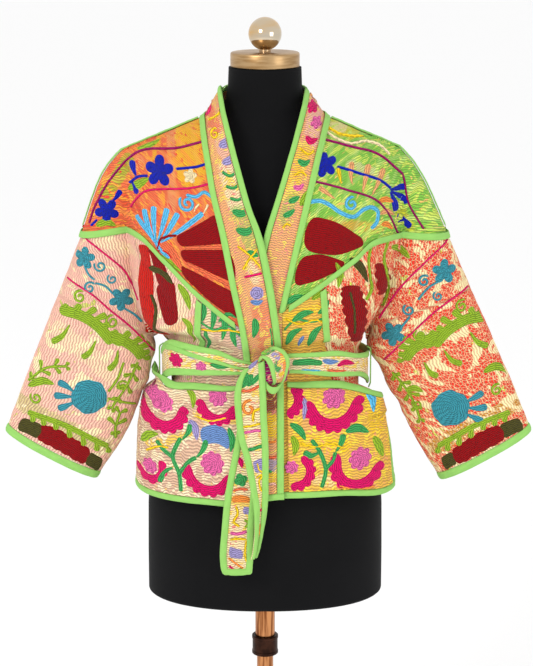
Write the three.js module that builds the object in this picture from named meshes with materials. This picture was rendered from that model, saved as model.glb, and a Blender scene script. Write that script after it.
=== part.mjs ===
// A short kantha jacket: quilted, embroidered cotton cut in a kimono shape, closed right over left with a
// tied sash, worn on a limbless tailor's dress form with a telescopic pole and a round floor base.
// Millimetres, +Z up, the front faces -Y, and the origin is on the floor under the pole.
import * as THREE from 'three';

// Driving sizes
const CLOTH = 2.2;            // quilted cloth, two layers stitched together
const SEAM_INSET = 0.25;      // each piece stops this far short of a shared seam line
const BINDING = 11;           // width of the bias bindings
const TAPE_THICK = 1.4;       // a binding laid flat over a seam
const TAPE_CLEAR = 1.5;       // between a panel and the tape that lies on it
const FOLD_CLEAR = 1.9;       // the same where the seam crosses the fold of the armhole
const EDGE_THICK = 4.4;       // a binding folded round one cloth edge
const HEM_THICK = 6.8;        // a binding folded round a front and its pocket
const EDGE_RISE = 1.1;        // how far an edge binding stands over the cloth's face
const CROWN = 0.7;            // how far the middle of an edge binding bulges
const OVERLAP_LIFT = 8.8;     // the right front lies this far outside the left front
const POCKET_LIFT = 3.1;      // a patch pocket's face over the cloth that it is sewn to
const RIGHT = -1;             // the wearer's right is at -X
const LEFT = 1;

// Heights over the floor and places on the front view
const HEM = 815;
const HEM_RISE = 12;          // the hem is higher at the front edges
const CHEST = 1215;           // above this height the cloth leans back to the shoulder line
const NECK_POINT = { x: 94, z: 1402 };
const NECK_CLIMB = 1.4;       // slope of the cloth between the neck point and the neck
const NECK_SIDE = { x: 63, z: 1447 };
const NECK_DROP = 8;          // the neckband's outer edge dips this much at the centre back
const BACK_SEAM = 1217;       // the seam between the back yoke and the back panel
const ARMPIT = 1046;
const SLIT_AZIMUTH = { [RIGHT]: -96, [LEFT]: 79 };

const COLOURS = {
  lime: [0.5, 0.78, 0.33], orange: [0.9, 0.42, 0.2], leaf: [0.42, 0.7, 0.2], pink: [0.88, 0.62, 0.55],
  red: [0.85, 0.22, 0.15], sand: [0.72, 0.58, 0.45], mustard: [0.85, 0.6, 0.15], rose: [0.85, 0.1, 0.4],
  apricot: [0.9, 0.6, 0.3], black: [0.015, 0.015, 0.017], brass: [0.72, 0.5, 0.25], bronze: [0.12, 0.08, 0.06],
  chrome: [0.75, 0.72, 0.66],
};

// The body cloth: half width on each side, front depth and back depth at each height
const BODY = [
  { z: 800, right: 207, left: 210, front: 146, back: 130 },
  { z: 883, right: 199, left: 200, front: 141, back: 127 },
  { z: 930, right: 187, left: 190, front: 133, back: 121 },
  { z: 975, right: 166, left: 170, front: 122, back: 112 },
  { z: 1010, right: 158, left: 158, front: 116, back: 106 },
  { z: 1046, right: 170, left: 155, front: 121, back: 108 },
  { z: 1075, right: 187, left: 166, front: 131, back: 111 },
  { z: 1112, right: 203, left: 183, front: 137, back: 114 },
  { z: 1180, right: 210, left: 203, front: 141, back: 118 },
  { z: 1228, right: 214, left: 212, front: 139, back: 119 },
  { z: 1460, right: 214, left: 212, front: 139, back: 119 },
];
// The sleeve: its inner and outer lines in the front view, and its half depth. Above the armpit the inner
// line runs on inside the body, so that the two rounded shapes meet in the fold of the armhole.
const SLEEVE = {
  [RIGHT]: [
    { z: 790, inner: 292, outer: 459, depth: 27 }, { z: 818, inner: 273, outer: 448, depth: 29 },
    { z: 903, inner: 219, outer: 414, depth: 35 }, { z: 948, inner: 199, outer: 396, depth: 38 },
    { z: 986, inner: 184, outer: 381, depth: 40 }, { z: 1046, inner: 173, outer: 357, depth: 43 },
    { z: 1112, inner: 196, outer: 330, depth: 45 }, { z: 1218, inner: 192, outer: 287.5, depth: 46 },
    { z: 1302, inner: 150, outer: 257, depth: 38 }, { z: 1349, inner: 118, outer: 222, depth: 24 },
    { z: 1402, inner: 80, outer: 94, depth: 0 },
  ],
  [LEFT]: [
    { z: 790, inner: 298, outer: 470, depth: 27 }, { z: 815, inner: 284, outer: 459, depth: 29 },
    { z: 892, inner: 238, outer: 429, depth: 35 }, { z: 948, inner: 208, outer: 406, depth: 38 },
    { z: 1004, inner: 179, outer: 382, depth: 41 }, { z: 1046, inner: 160.5, outer: 363, depth: 43 },
    { z: 1112, inner: 176, outer: 333, depth: 45 }, { z: 1217, inner: 188, outer: 286, depth: 46 },
    { z: 1302, inner: 146, outer: 247, depth: 38 }, { z: 1354, inner: 112, outer: 208, depth: 24 },
    { z: 1402, inner: 80, outer: 94, depth: 0 },
  ],
};
const CUFF = {
  [RIGHT]: { inner: [-273, 818], outer: [-416, 897] },
  [LEFT]: { inner: [284, 815], outer: [427, 897] },
};

// Edges of the neckband in the front view, shoulder to hem. The left band lies under the right one.
const BAND = {
  [RIGHT]: {
    upper: { outer: [[-94, 1402], [-85, 1349], [-76, 1298], [-62, 1239], [-48, 1165], [-34, 1096]],
      inner: [[-63, 1447], [-41, 1360], [-21, 1285], [-3, 1235], [12, 1165], [22, 1096]] },
    lower: { outer: [[-34, 1096], [-27, 1040], [-26, 960], [-26, 815]],
      inner: [[22, 1096], [27, 1040], [29, 960], [29, 827]] },
  },
  [LEFT]: {
    upper: { outer: [[94, 1402], [81, 1358], [69, 1311], [57, 1261], [42, 1195], [26, 1120]],
      inner: [[63, 1447], [38, 1365], [17, 1297], [-1, 1240], [-15, 1180], [-23, 1120]] },
    lower: { outer: [[26, 1120], [26, 1050], [26, 960], [26, 815]],
      inner: [[-23, 1120], [-27, 1050], [-29, 960], [-29, 815]] },
  },
};
// The yoke seam, neckband to upper arm, and the seam that runs down from it to the hem
const YOKE_SEAM = {
  [RIGHT]: [[-34, 1096], [-99, 1144], [-152, 1195], [-202, 1230], [-287.5, 1218]],
  [LEFT]: [[26, 1120], [87, 1163], [135, 1198], [175, 1223], [286, 1217]],
};
const FRONT_SEAM = {
  [RIGHT]: [[-99, 1144], [-105, 1060], [-112, 940], [-116, 815]],
  [LEFT]: [[87, 1163], [95, 1070], [112, 940], [122, 815]],
};
const ARMHOLE = {
  [RIGHT]: {
    front: [[-202, 1230], [-190, 1120], [-169.5, ARMPIT]],
    back: [[-202, 1220], [-190, 1120], [-169.5, ARMPIT]],
  },
  [LEFT]: {
    front: [[175, 1223], [171, 1123], [154.5, ARMPIT]],
    back: [[203, 1220], [178, 1120], [154.5, ARMPIT]],
  },
};

// The sash: lower and upper edge by azimuth, 0 at the front and 90 at the wearer's left
const SASH = [
  { azimuth: -180, low: 966, high: 1022 }, { azimuth: -90, low: 978, high: 1034 },
  { azimuth: -58, low: 1010, high: 1065 }, { azimuth: -32, low: 1019, high: 1060 },
  { azimuth: -14, low: 1022, high: 1044 }, { azimuth: -4, low: 1024, high: 1040 },
  { azimuth: 17, low: 1024, high: 1055 }, { azimuth: 41, low: 1015, high: 1055 },
  { azimuth: 62, low: 1006, high: 1042 }, { azimuth: 90, low: 976, high: 1032 },
  { azimuth: 180, low: 966, high: 1022 },
];
const SASH_RING = { side: 163, front: 135.2, back: 118, fullness: 2.5 };
const SASH_STACK = 14.5;      // the cloth under the sash lies this far inside the sash's face
const SASH_THICK = 2.4;

// How far the mouth of each patch pocket stands away from the body and how much lower it is cut than its
// highest place, as a share of its height: u is 1 at the front seam, 2 at the slit
const MOUTH = {
  [RIGHT]: [
    { u: 0, gape: 0, lower: 0 }, { u: 1, gape: 1, lower: 0.01 }, { u: 1.35, gape: 7.5, lower: 0.032 },
    { u: 1.7, gape: 23, lower: 0 }, { u: 2, gape: 31, lower: 0 },
  ],
  [LEFT]: [
    { u: 0, gape: 0, lower: 0 }, { u: 1, gape: 1, lower: 0.01 }, { u: 1.5, gape: 3, lower: 0.06 },
    { u: 2, gape: 9, lower: 0.16 },
  ],
};

// The largest creases, as soft troughs between two places of the front view, on both faces
const CREASES = [
  { x1: -176, z1: 1056, x2: -262, z2: 1092, width: 13, depth: 5 },
  { x1: -186, z1: 1010, x2: -292, z2: 1012, width: 15, depth: 5 },
  { x1: -196, z1: 962, x2: -268, z2: 936, width: 14, depth: 4 },
  { x1: -196, z1: 1190, x2: -150, z2: 1120, width: 16, depth: 5 },
  { x1: -216, z1: 1246, x2: -196, z2: 1318, width: 18, depth: 6 },
  { x1: 165, z1: 1060, x2: 250, z2: 1104, width: 13, depth: 5 },
  { x1: 188, z1: 1004, x2: 290, z2: 1018, width: 15, depth: 5 },
  { x1: 214, z1: 944, x2: 288, z2: 932, width: 14, depth: 4 },
  { x1: 192, z1: 1196, x2: 140, z2: 1130, width: 16, depth: 5 },
  { x1: 214, z1: 1240, x2: 190, z2: 1316, width: 18, depth: 6 },
];
// Small pleats that fan out above and below the sash
const GATHERS = { waves: 5, height: 2.6, reach: 46 };
// How far below and above the sash its pinch begins and ends, and the height over which there is none
const PINCH = { belowFar: 24, belowNear: 3, aboveNear: 3, aboveFar: 22, top: 1110 };
// Across the front view: where the lap of the right front begins to rise and where it has its full height
const LAP = { from: -104, to: -44 };
// The rise of the front hem: where it begins and ends on the right, then on the left
const HEM_CURVE = { rightLow: -60, rightHigh: 30, leftHigh: 110, leftLow: 200 };
// The hem binding is thin within this distance of the centre and has its full thickness from the second on
const POCKET_EDGE = { from: 26, to: 44 };
const POCKET_MOUTH_SHARE = 1 / 30;   // the pocket's mouth binding as a share of the height up to the yoke
// Where each tape begins and ends along its seam, so that it stops short of the next tape
const TAPE_ENDS = {
  yoke: [0.055, 0.996], shoulder: [0.05, 0.99], backYoke: [0.004, 4.996], frontSeam: 0.948,
  neckband: { [RIGHT]: 2.995, [LEFT]: 2 },
};

const lerp = (a, b, t) => a + (b - a) * t;
const clamp = (v, low = 0, high = 1) => Math.min(high, Math.max(low, v));
const smooth = (low, high, v) => {
  const t = clamp((v - low) / (high - low));
  return t * t * (3 - 2 * t);
};
const degrees = (radians) => (radians * 180) / Math.PI;
const radians = (angle) => (angle * Math.PI) / 180;
const sideOf = (x) => (x < 0 ? RIGHT : LEFT);

// Reads one column of a table at a value of its key column, on a smooth curve without overshoot
function read(table, key, value, column) {
  const last = table.length - 1;
  const next = table.findIndex((row) => row[key] > value);
  const i = next < 0 ? last - 1 : Math.max(next - 1, 0);
  const [a, b] = [table[i], table[i + 1]];
  const span = b[key] - a[key];
  const t = clamp((value - a[key]) / span);
  const slope = (from, to) => (to[column] - from[column]) / (to[key] - from[key]);
  const middle = slope(a, b);
  const tangent = (other) => (other * middle > 0 ? (2 * other * middle) / (other + middle) : 0);
  const start = (i > 0 ? tangent(slope(table[i - 1], a)) : middle) * span;
  const end = (i < last - 1 ? tangent(slope(b, table[i + 2])) : middle) * span;
  const t2 = t * t;
  const t3 = t2 * t;
  return (2 * t3 - 3 * t2 + 1) * a[column] + (t3 - 2 * t2 + t) * start
    + (3 * t2 - 2 * t3) * b[column] + (t3 - t2) * end;
}

// The outer shape of the garment: a rounded body and two rounded sleeves that meet in a fold
const BODY_FULLNESS = 2.5;
const SLEEVE_FULLNESS = 2.2;
const BLEND = 3.2;
const LEAN = { front: 2, back: 2.4 };
const round = (t, fullness) => (1 - clamp(Math.abs(t)) ** fullness) ** (1 / fullness);

const shoulderHeight = (x) => {
  const side = sideOf(x);
  const tip = SLEEVE[side][9];
  const across = Math.abs(x) - NECK_POINT.x;
  return across > 0 ? NECK_POINT.z - (across * (NECK_POINT.z - tip.z)) / (tip.outer - NECK_POINT.x)
    : NECK_POINT.z - across * NECK_CLIMB;
};
const halfWidth = (side, z) => read(BODY, 'z', z, side === LEFT ? 'left' : 'right');

// How far the cloth stands in front of (or behind) the side plane at a place of the front view
function clothDepth(face, x, z) {
  const side = sideOf(x);
  const width = Math.abs(x);
  const up = clamp((z - CHEST) / (shoulderHeight(x) - CHEST));
  const body = read(BODY, 'z', z, face) * round(width / halfWidth(side, z), BODY_FULLNESS)
    * round(up, LEAN[face]);
  const inner = read(SLEEVE[side], 'z', z, 'inner');
  const outer = read(SLEEVE[side], 'z', z, 'outer');
  const sleeve = read(SLEEVE[side], 'z', z, 'depth')
    * round((2 * width - inner - outer) / (outer - inner), SLEEVE_FULLNESS);
  return (body ** BLEND + sleeve ** BLEND) ** (1 / BLEND);
}

// Radius of the sash's face round the body at an azimuth
function sashRadius(azimuth) {
  const across = Math.abs(Math.sin(radians(azimuth))) / SASH_RING.side;
  const along = Math.cos(radians(azimuth));
  const ahead = Math.abs(along) / (along > 0 ? SASH_RING.front : SASH_RING.back);
  return (across ** SASH_RING.fullness + ahead ** SASH_RING.fullness) ** (-1 / SASH_RING.fullness);
}

function creaseDepth(x, z) {
  let total = 0;
  for (const crease of CREASES) {
    const [dx, dz] = [crease.x2 - crease.x1, crease.z2 - crease.z1];
    const t = clamp(((x - crease.x1) * dx + (z - crease.z1) * dz) / (dx * dx + dz * dz));
    const away = Math.hypot(x - crease.x1 - t * dx, z - crease.z1 - t * dz);
    total += crease.depth * Math.exp(-((away / crease.width) ** 2)) * (1 - 0.7 * t);
  }
  return total;
}

// The cloth's face at a place of the front view, drawn in where the sash ties it
function facePoint(face, x, z) {
  const side = sideOf(x);
  const limit = read(SLEEVE[side], 'z', z, 'outer');
  const across = z < ARMPIT && Math.abs(x) > limit ? side * limit : x;
  const ahead = face === 'front' ? -1 : 1;
  const y = ahead * clothDepth(face, across, z);
  if (Math.abs(across) > halfWidth(side, z) + 1 || z > PINCH.top) return new THREE.Vector3(across, y, z);
  const azimuth = degrees(Math.atan2(across, -y));
  const low = read(SASH, 'azimuth', azimuth, 'low');
  const high = read(SASH, 'azimuth', azimuth, 'high');
  const near = smooth(low - PINCH.belowFar, low - PINCH.belowNear, z)
    * (1 - smooth(high + PINCH.aboveNear, high + PINCH.aboveFar, z));
  const tight = Math.max(0, 1 - (sashRadius(azimuth) - SASH_STACK) / Math.hypot(across, y));
  const spread = Math.exp(-(((z - (low + high) / 2) / GATHERS.reach) ** 2));
  const wave = spread * Math.sin(radians(azimuth) * GATHERS.waves * 2);
  const keep = 1 - near * tight + (wave * GATHERS.height * (1 - near)) / Math.hypot(across, y);
  return new THREE.Vector3(across * keep, y * keep, z);
}

// A point of the face and the outward direction there
function face(place) {
  const e = 0.4;
  const { x, z } = place;
  const ahead = place.face === 'front' ? -1 : 1;
  const slopeX = (clothDepth(place.face, x + e, z) - clothDepth(place.face, x - e, z)) / (2 * e);
  const slopeZ = (clothDepth(place.face, x, z + e) - clothDepth(place.face, x, z - e)) / (2 * e);
  const normal = new THREE.Vector3(-slopeX, ahead, -slopeZ).normalize();
  const rest = facePoint(place.face, x, z);
  const onFront = place.face === 'front' ? 1 : 0;
  const over = place.layer === 'over' ? onFront * OVERLAP_LIFT * smooth(LAP.from, LAP.to, x) : 0;
  return { point: rest.addScaledVector(normal, over - creaseDepth(x, z)), normal };
}

// Curves on the front view. A place is {face, x, z}.
const front = (x, z) => ({ face: 'front', x, z });
const back = (x, z) => ({ face: 'back', x, z });
const line = (points, on = 'front') => {
  const curve = new THREE.SplineCurve(points.map(([x, z]) => new THREE.Vector2(x, z)));
  return (t) => {
    const at = curve.getPoint(t);
    return { face: on, x: at.x, z: at.y };
  };
};
const straight = (points, on = 'front') => (t) => {
  const i = Math.min(Math.floor(t * (points.length - 1)), points.length - 2);
  const f = t * (points.length - 1) - i;
  const [a, b] = [points[i], points[i + 1]];
  return { face: on, x: lerp(a[0], b[0], f), z: lerp(a[1], b[1], f) };
};
const steps = (count, ease = (t) => t) => Array.from({ length: count + 1 }, (_, i) => ease(i / count));
const easeOut = (t) => Math.sin((t * Math.PI) / 2);

// Azimuth round the body in degrees, and the place of the front view at an azimuth and a height
function around(place) {
  const angle = degrees(Math.asin(clamp(place.x / halfWidth(sideOf(place.x), place.z), -1, 1)));
  return place.face === 'front' ? angle : 180 - angle;
}
function onBody(angle, z) {
  const sine = Math.sin(radians(angle));
  return { face: Math.cos(radians(angle)) >= 0 ? 'front' : 'back', x: sine * halfWidth(sideOf(sine), z), z };
}

// A patch between four edge curves, blended in the front view or round the body
function patch(bottom, top, start, end) {
  const blend = (u, v, key) => {
    const [b, t, s, e] = [key(bottom(u)), key(top(u)), key(start(v)), key(end(v))];
    const corners = lerp(lerp(key(bottom(0)), key(bottom(1)), u), lerp(key(top(0)), key(top(1)), u), v);
    return lerp(b, t, v) + lerp(s, e, u) - corners;
  };
  return blend;
}
const flatPatch = (on, ...edges) => {
  const blend = patch(...edges);
  return (u, v) => ({ face: on, x: blend(u, v, (p) => p.x), z: blend(u, v, (p) => p.z) });
};
const bodyPatch = (...edges) => {
  const blend = patch(...edges);
  return (u, v) => onBody(blend(u, v, (p) => p.angle ?? around(p)), blend(u, v, (p) => p.z));
};
const ring = (angle, z) => ({ angle, z });

// Solids
const jacket = new THREE.Group();
const form = new THREE.Group();
const stand = new THREE.Group();

const cloth = (colour) => new THREE.MeshStandardMaterial({
  color: new THREE.Color(...COLOURS[colour]), roughness: 0.9, metalness: 0,
});
const metal = (colour, roughness) => new THREE.MeshStandardMaterial({
  color: new THREE.Color(...COLOURS[colour]), roughness, metalness: 1,
});

// A closed wall from rows of outer and inner points
function wallGeometry(outer, inner) {
  const rows = outer.length;
  const columns = outer[0].length;
  const positions = [...outer.flat(), ...inner.flat()].flatMap((p) => [p.x, p.y, p.z]);
  const at = (layer, i, j) => layer * rows * columns + i * columns + j;
  const index = [];
  const quad = (a, b, c, d) => index.push(a, b, c, a, c, d);
  for (let i = 0; i < rows - 1; i += 1) {
    for (let j = 0; j < columns - 1; j += 1) {
      quad(at(0, i, j), at(0, i, j + 1), at(0, i + 1, j + 1), at(0, i + 1, j));
      quad(at(1, i, j), at(1, i + 1, j), at(1, i + 1, j + 1), at(1, i, j + 1));
    }
    quad(at(0, i, 0), at(0, i + 1, 0), at(1, i + 1, 0), at(1, i, 0));
    quad(at(0, i, columns - 1), at(1, i, columns - 1), at(1, i + 1, columns - 1), at(0, i + 1, columns - 1));
  }
  for (let j = 0; j < columns - 1; j += 1) {
    quad(at(0, 0, j), at(1, 0, j), at(1, 0, j + 1), at(0, 0, j + 1));
    quad(at(0, rows - 1, j), at(0, rows - 1, j + 1), at(1, rows - 1, j + 1), at(1, rows - 1, j));
  }
  const geometry = new THREE.BufferGeometry();
  geometry.setAttribute('position', new THREE.Float32BufferAttribute(positions, 3));
  geometry.setIndex(index);
  return facingOut(geometry);
}

// Turns the faces round where the enclosed volume comes out negative
function facingOut(geometry) {
  const position = geometry.getAttribute('position');
  const index = geometry.getIndex();
  const [a, b, c] = [new THREE.Vector3(), new THREE.Vector3(), new THREE.Vector3()];
  let volume = 0;
  for (let i = 0; i < index.count; i += 3) {
    a.fromBufferAttribute(position, index.getX(i));
    b.fromBufferAttribute(position, index.getX(i + 1));
    c.fromBufferAttribute(position, index.getX(i + 2));
    volume += a.dot(b.cross(c));
  }
  if (volume < 0) {
    for (let i = 0; i < index.count; i += 3) {
      const first = index.getX(i);
      index.setX(i, index.getX(i + 2));
      index.setX(i + 2, first);
    }
  }
  geometry.computeVertexNormals();
  return geometry;
}

// Draws the rim of a grid of points in, so that neighbouring pieces stay apart at their seam
function insetRim(grid, inset) {
  const rows = grid.length - 1;
  const columns = grid[0].length - 1;
  const pull = (from, to) => from.add(to.clone().sub(from).setLength(inset));
  for (let i = 0; i <= rows; i += 1) {
    pull(grid[i][0], grid[i][1]);
    pull(grid[i][columns], grid[i][columns - 1]);
  }
  for (let j = 0; j <= columns; j += 1) {
    pull(grid[0][j], grid[1][j]);
    pull(grid[rows][j], grid[rows - 1][j]);
  }
}

// Builds one piece of cloth. at(u, v) gives its place on the garment, or a point with a normal of its own.
// rise moves the whole wall out, and ridge only its outer points.
function piece(name, colour, us, vs, at, options = {}) {
  const { thick = CLOTH, rise = () => 0, ridge = () => 0, inset = SEAM_INSET } = options;
  const thickAt = typeof thick === 'function' ? thick : () => thick;
  const outer = [];
  const inner = [];
  for (const v of vs) {
    const outerRow = [];
    const innerRow = [];
    for (const u of us) {
      const place = at(u, v);
      const { point, normal } = place.point ? place : face(place);
      const lift = rise(u, v);
      outerRow.push(point.clone().addScaledVector(normal, lift + ridge(u, v)));
      innerRow.push(point.clone().addScaledVector(normal, lift - thickAt(u, v)));
    }
    outer.push(outerRow);
    inner.push(innerRow);
  }
  insetRim(outer, inset);
  insetRim(inner, inset);
  const mesh = new THREE.Mesh(wallGeometry(outer, inner), cloth(colour));
  mesh.name = name;
  jacket.add(mesh);
}

const sideName = (side) => (side === RIGHT ? 'right' : 'left');
const layerOf = (side) => (side === RIGHT ? 'over' : 'under');
const inLayer = (side, at) => (u, v) => ({ ...at(u, v), layer: layerOf(side) });

const solve = (place) => (place.point ? place : face(place));

// A flat tape laid over a seam. seam(t), before(t) and after(t) give the seam's place and the nearest places
// inside the two panels that meet there, so the tape lies parallel to both.
function tape(name, ts, side, clear, seam, before, after) {
  const layer = side ? layerOf(side) : 'under';
  const at = (u, t) => {
    const middle = solve({ ...seam(t), layer });
    if (u === 0) return middle;
    const away = solve({ ...(u < 0 ? before(t) : after(t)), layer }).point.sub(middle.point);
    return { point: middle.point.add(away.setLength(BINDING / 2)), normal: middle.normal };
  };
  piece(name, 'lime', [-1, 0, 1], ts, at, { thick: TAPE_THICK, rise: () => clear + TAPE_THICK, inset: 0.15 });
}

// Samples that neighbouring pieces share along their seams
const UPPER_STEPS = steps(8, easeOut);
const ROWS = steps(12);
const ARMPIT_ROW = 8 / 12;
const SLIT_ROW = 4 / 12;
const CENTRE_STEPS = steps(3);
const FLANK_STEPS = steps(6);
const ACROSS_SLEEVE = [0, 0.06, 0.2, 0.42, 0.66, 0.86, 0.96, 1];
const ARMHOLE_ROWS = steps(4);
const SLEEVE_ROWS = steps(9);
const BAND_WALL = [0, 0.42, 0.8];
const BAND_EDGE = [0.8, 0.9, 1];
const BAR_DEGREES = 3.9;      // a slit binding seen as an angle round the body
const SLIT_GAP = 0.5;
const BACK_CORNER = { [RIGHT]: [-202, 1220], [LEFT]: [203, 1220] };

const RIDGE_INSET = 0.45;     // the yokes stop this far short of the shoulder ridge
const CORNER_HEIGHT = 8;      // length of the yokes' end over the arm
const OUTER_ARMPIT = 1112;    // height on the overarm line of the sleeve's row at the armpit
const POCKET_START = 0.1;
const POCKET_TOP = 6 / 12;

const frontHem = (x) => HEM + HEM_RISE
  * (smooth(HEM_CURVE.rightLow, HEM_CURVE.rightHigh, x) - smooth(HEM_CURVE.leftHigh, HEM_CURVE.leftLow, x));
const neckBack = (t) => back(
  -NECK_POINT.x * Math.cos(Math.PI * t), NECK_POINT.z - NECK_DROP * Math.sin(Math.PI * t),
);
const neckInner = (t) => back(-NECK_SIDE.x * Math.cos(Math.PI * t), NECK_SIDE.z);

// The edges of a neckband from the centre back (k = 0) over the shoulder (1) and the crossing (2) to the hem (3)
function bandEdge(side, which) {
  const { upper, lower } = BAND[side];
  const upperCurve = line(upper[which]);
  const end = lower[which][lower[which].length - 1][0];
  const lowerCurve = line([...lower[which].slice(0, -1), [end, frontHem(end) + BINDING]]);
  const behind = which === 'outer' ? neckBack : neckInner;
  return (k) => {
    if (k < 1) return behind(side === RIGHT ? 0.5 - k / 2 : 0.5 + k / 2);
    return k <= 2 ? upperCurve(k - 1) : lowerCurve(k - 2);
  };
}
const bandRows = [
  ...steps(4).slice(0, -1), ...reversedSteps(UPPER_STEPS).map((v) => 1 + v).slice(0, -1),
  ...ROWS.map((v) => 2 + v),
];
function reversedSteps(list) {
  return list.map((v) => 1 - v).reverse();
}

// The edge of a front or back along the side slit, the side seam and the armhole, hem to yoke seam
function sideEdge(side, on) {
  const armhole = line([...ARMHOLE[side][on]].reverse(), on);
  const turn = on === 'front' ? 0 : 360;
  const slit = SLIT_AZIMUTH[side] + (side === RIGHT ? turn : 0);
  const middle = side * 90 + (side === RIGHT ? turn : 0);
  const inward = (on === 'front' ? -side : side) * (BAR_DEGREES + SLIT_GAP);
  return (v) => {
    if (v > ARMPIT_ROW) return armhole((v - ARMPIT_ROW) / (1 - ARMPIT_ROW));
    const f = v / ARMPIT_ROW;
    const angle = v <= SLIT_ROW + 0.001 ? slit + inward : lerp(slit, middle, smooth(0.5, 1, f));
    return ring(angle, lerp(HEM + BINDING, ARMPIT, f));
  };
}

// The patches of one side of the jacket
function frontYokePatch(side) {
  const seam = line(YOKE_SEAM[side]);
  const tip = SLEEVE[side][9];
  const corner = YOKE_SEAM[side][4][1] + CORNER_HEIGHT;
  const top = (u) => {
    if (u <= 0.75) {
      const x = side * lerp(NECK_POINT.x, tip.outer, u / 0.75);
      return front(x, shoulderHeight(x));
    }
    const z = lerp(tip.z, corner, (u - 0.75) * 4);
    return front(side * read(SLEEVE[side], 'z', z, 'outer'), z);
  };
  const bandSide = bandEdge(side, 'outer');
  const end = straight([[seam(1).x, seam(1).z], [top(1).x, corner]]);
  return { at: flatPatch('front', seam, top, (v) => bandSide(2 - v), end), top, seam };
}

function frontPatches(side) {
  const seam = line(YOKE_SEAM[side]);
  const frontSeam = line([...FRONT_SEAM[side]].reverse());
  const foot = FRONT_SEAM[side][3][0];
  const seamSide = (v) => (v === 0 ? front(foot, frontHem(foot) + BINDING) : frontSeam(v));
  const bandSide = bandEdge(side, 'outer');
  const end = sideEdge(side, 'front');
  const onBottom = (from, to) => (u) => {
    const angle = lerp(from, to, u);
    return ring(angle, frontHem(onBody(angle, HEM).x) + BINDING);
  };
  const angles = { band: around(bandSide(3)), seam: around(seamSide(0)), side: end(0).angle };
  return {
    centre: bodyPatch(
      onBottom(angles.band, angles.seam), (u) => seam(u / 4), (v) => bandSide(3 - v), seamSide,
    ),
    flank: bodyPatch(onBottom(angles.seam, angles.side), (u) => seam(0.25 + u / 2), seamSide, end),
    seamSide, end, angles,
  };
}

function bandPatch(side) {
  const [outer, inner] = [bandEdge(side, 'outer'), bandEdge(side, 'inner')];
  return (u, k) => {
    const [a, b] = [outer(k), inner(k)];
    const x = lerp(a.x, b.x, u);
    const level = lerp(a.z, b.z, u);
    const low = frontHem(x) + BINDING - lerp(outer(3).z, inner(3).z, u);
    return { face: a.face, x, z: k <= 2 ? level : level + low * (k - 2) };
  };
}

function sleevePatch(side) {
  const armholes = { front: line(ARMHOLE[side].front), back: line(ARMHOLE[side].back, 'back') };
  const cuff = CUFF[side];
  const cuffSlant = Math.atan2(cuff.outer[1] - cuff.inner[1], Math.abs(cuff.outer[0] - cuff.inner[0]));
  const cuffRise = BINDING / Math.cos(cuffSlant);
  const armpitGap = read(SLEEVE[side], 'z', ARMPIT, 'inner') - Math.abs(ARMHOLE[side].front[2][0]);
  const lineAt = (key, z) => side * read(SLEEVE[side], 'z', z, key);
  const innerAt = (v, on) => {
    if (v > 1) {
      const z = lerp(ARMPIT, cuff.inner[1] + cuffRise, v - 1);
      return { x: lineAt('inner', z), z };
    }
    const place = armholes[on](v);
    return { x: place.x + side * armpitGap * v ** 3, z: place.z };
  };
  const top = YOKE_SEAM[side][4][1];
  const outerAt = (v) => {
    const z = v <= 1 ? lerp(top, OUTER_ARMPIT, v) : lerp(OUTER_ARMPIT, cuff.outer[1] + cuffRise, v - 1);
    return { x: lineAt('outer', z), z };
  };
  const seam = line(YOKE_SEAM[side]);
  const level = (s, v, on) => {
    const [a, b] = [innerAt(v, on), outerAt(v)];
    return { face: on, x: lerp(a.x, b.x, s), z: lerp(a.z, b.z, s) };
  };
  // u runs 0 to 1 over the front, armhole to overarm, and 1 to 2 back over the back
  const at = (u, v) => {
    const on = u <= 1 ? 'front' : 'back';
    const s = u <= 1 ? u : 2 - u;
    const place = level(s, v, on);
    if (on === 'back' || v >= 1) return place;
    const [edge, flat] = [seam(0.75 + s / 4), level(s, 0, on)];
    return { ...place, x: place.x + (edge.x - flat.x) * (1 - v), z: place.z + (edge.z - flat.z) * (1 - v) };
  };
  const cuffAt = (u, v) => {
    const s = u <= 1 ? u : 2 - u;
    const drop = (1 - v) * cuffRise;
    const [low, high] = [cuff.inner[1] + drop, cuff.outer[1] + drop];
    const x = lerp(lineAt('inner', low), lineAt('outer', high), s);
    return { face: u <= 1 ? 'front' : 'back', x, z: lerp(low, high, s) };
  };
  return { at, cuffAt };
}

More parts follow.
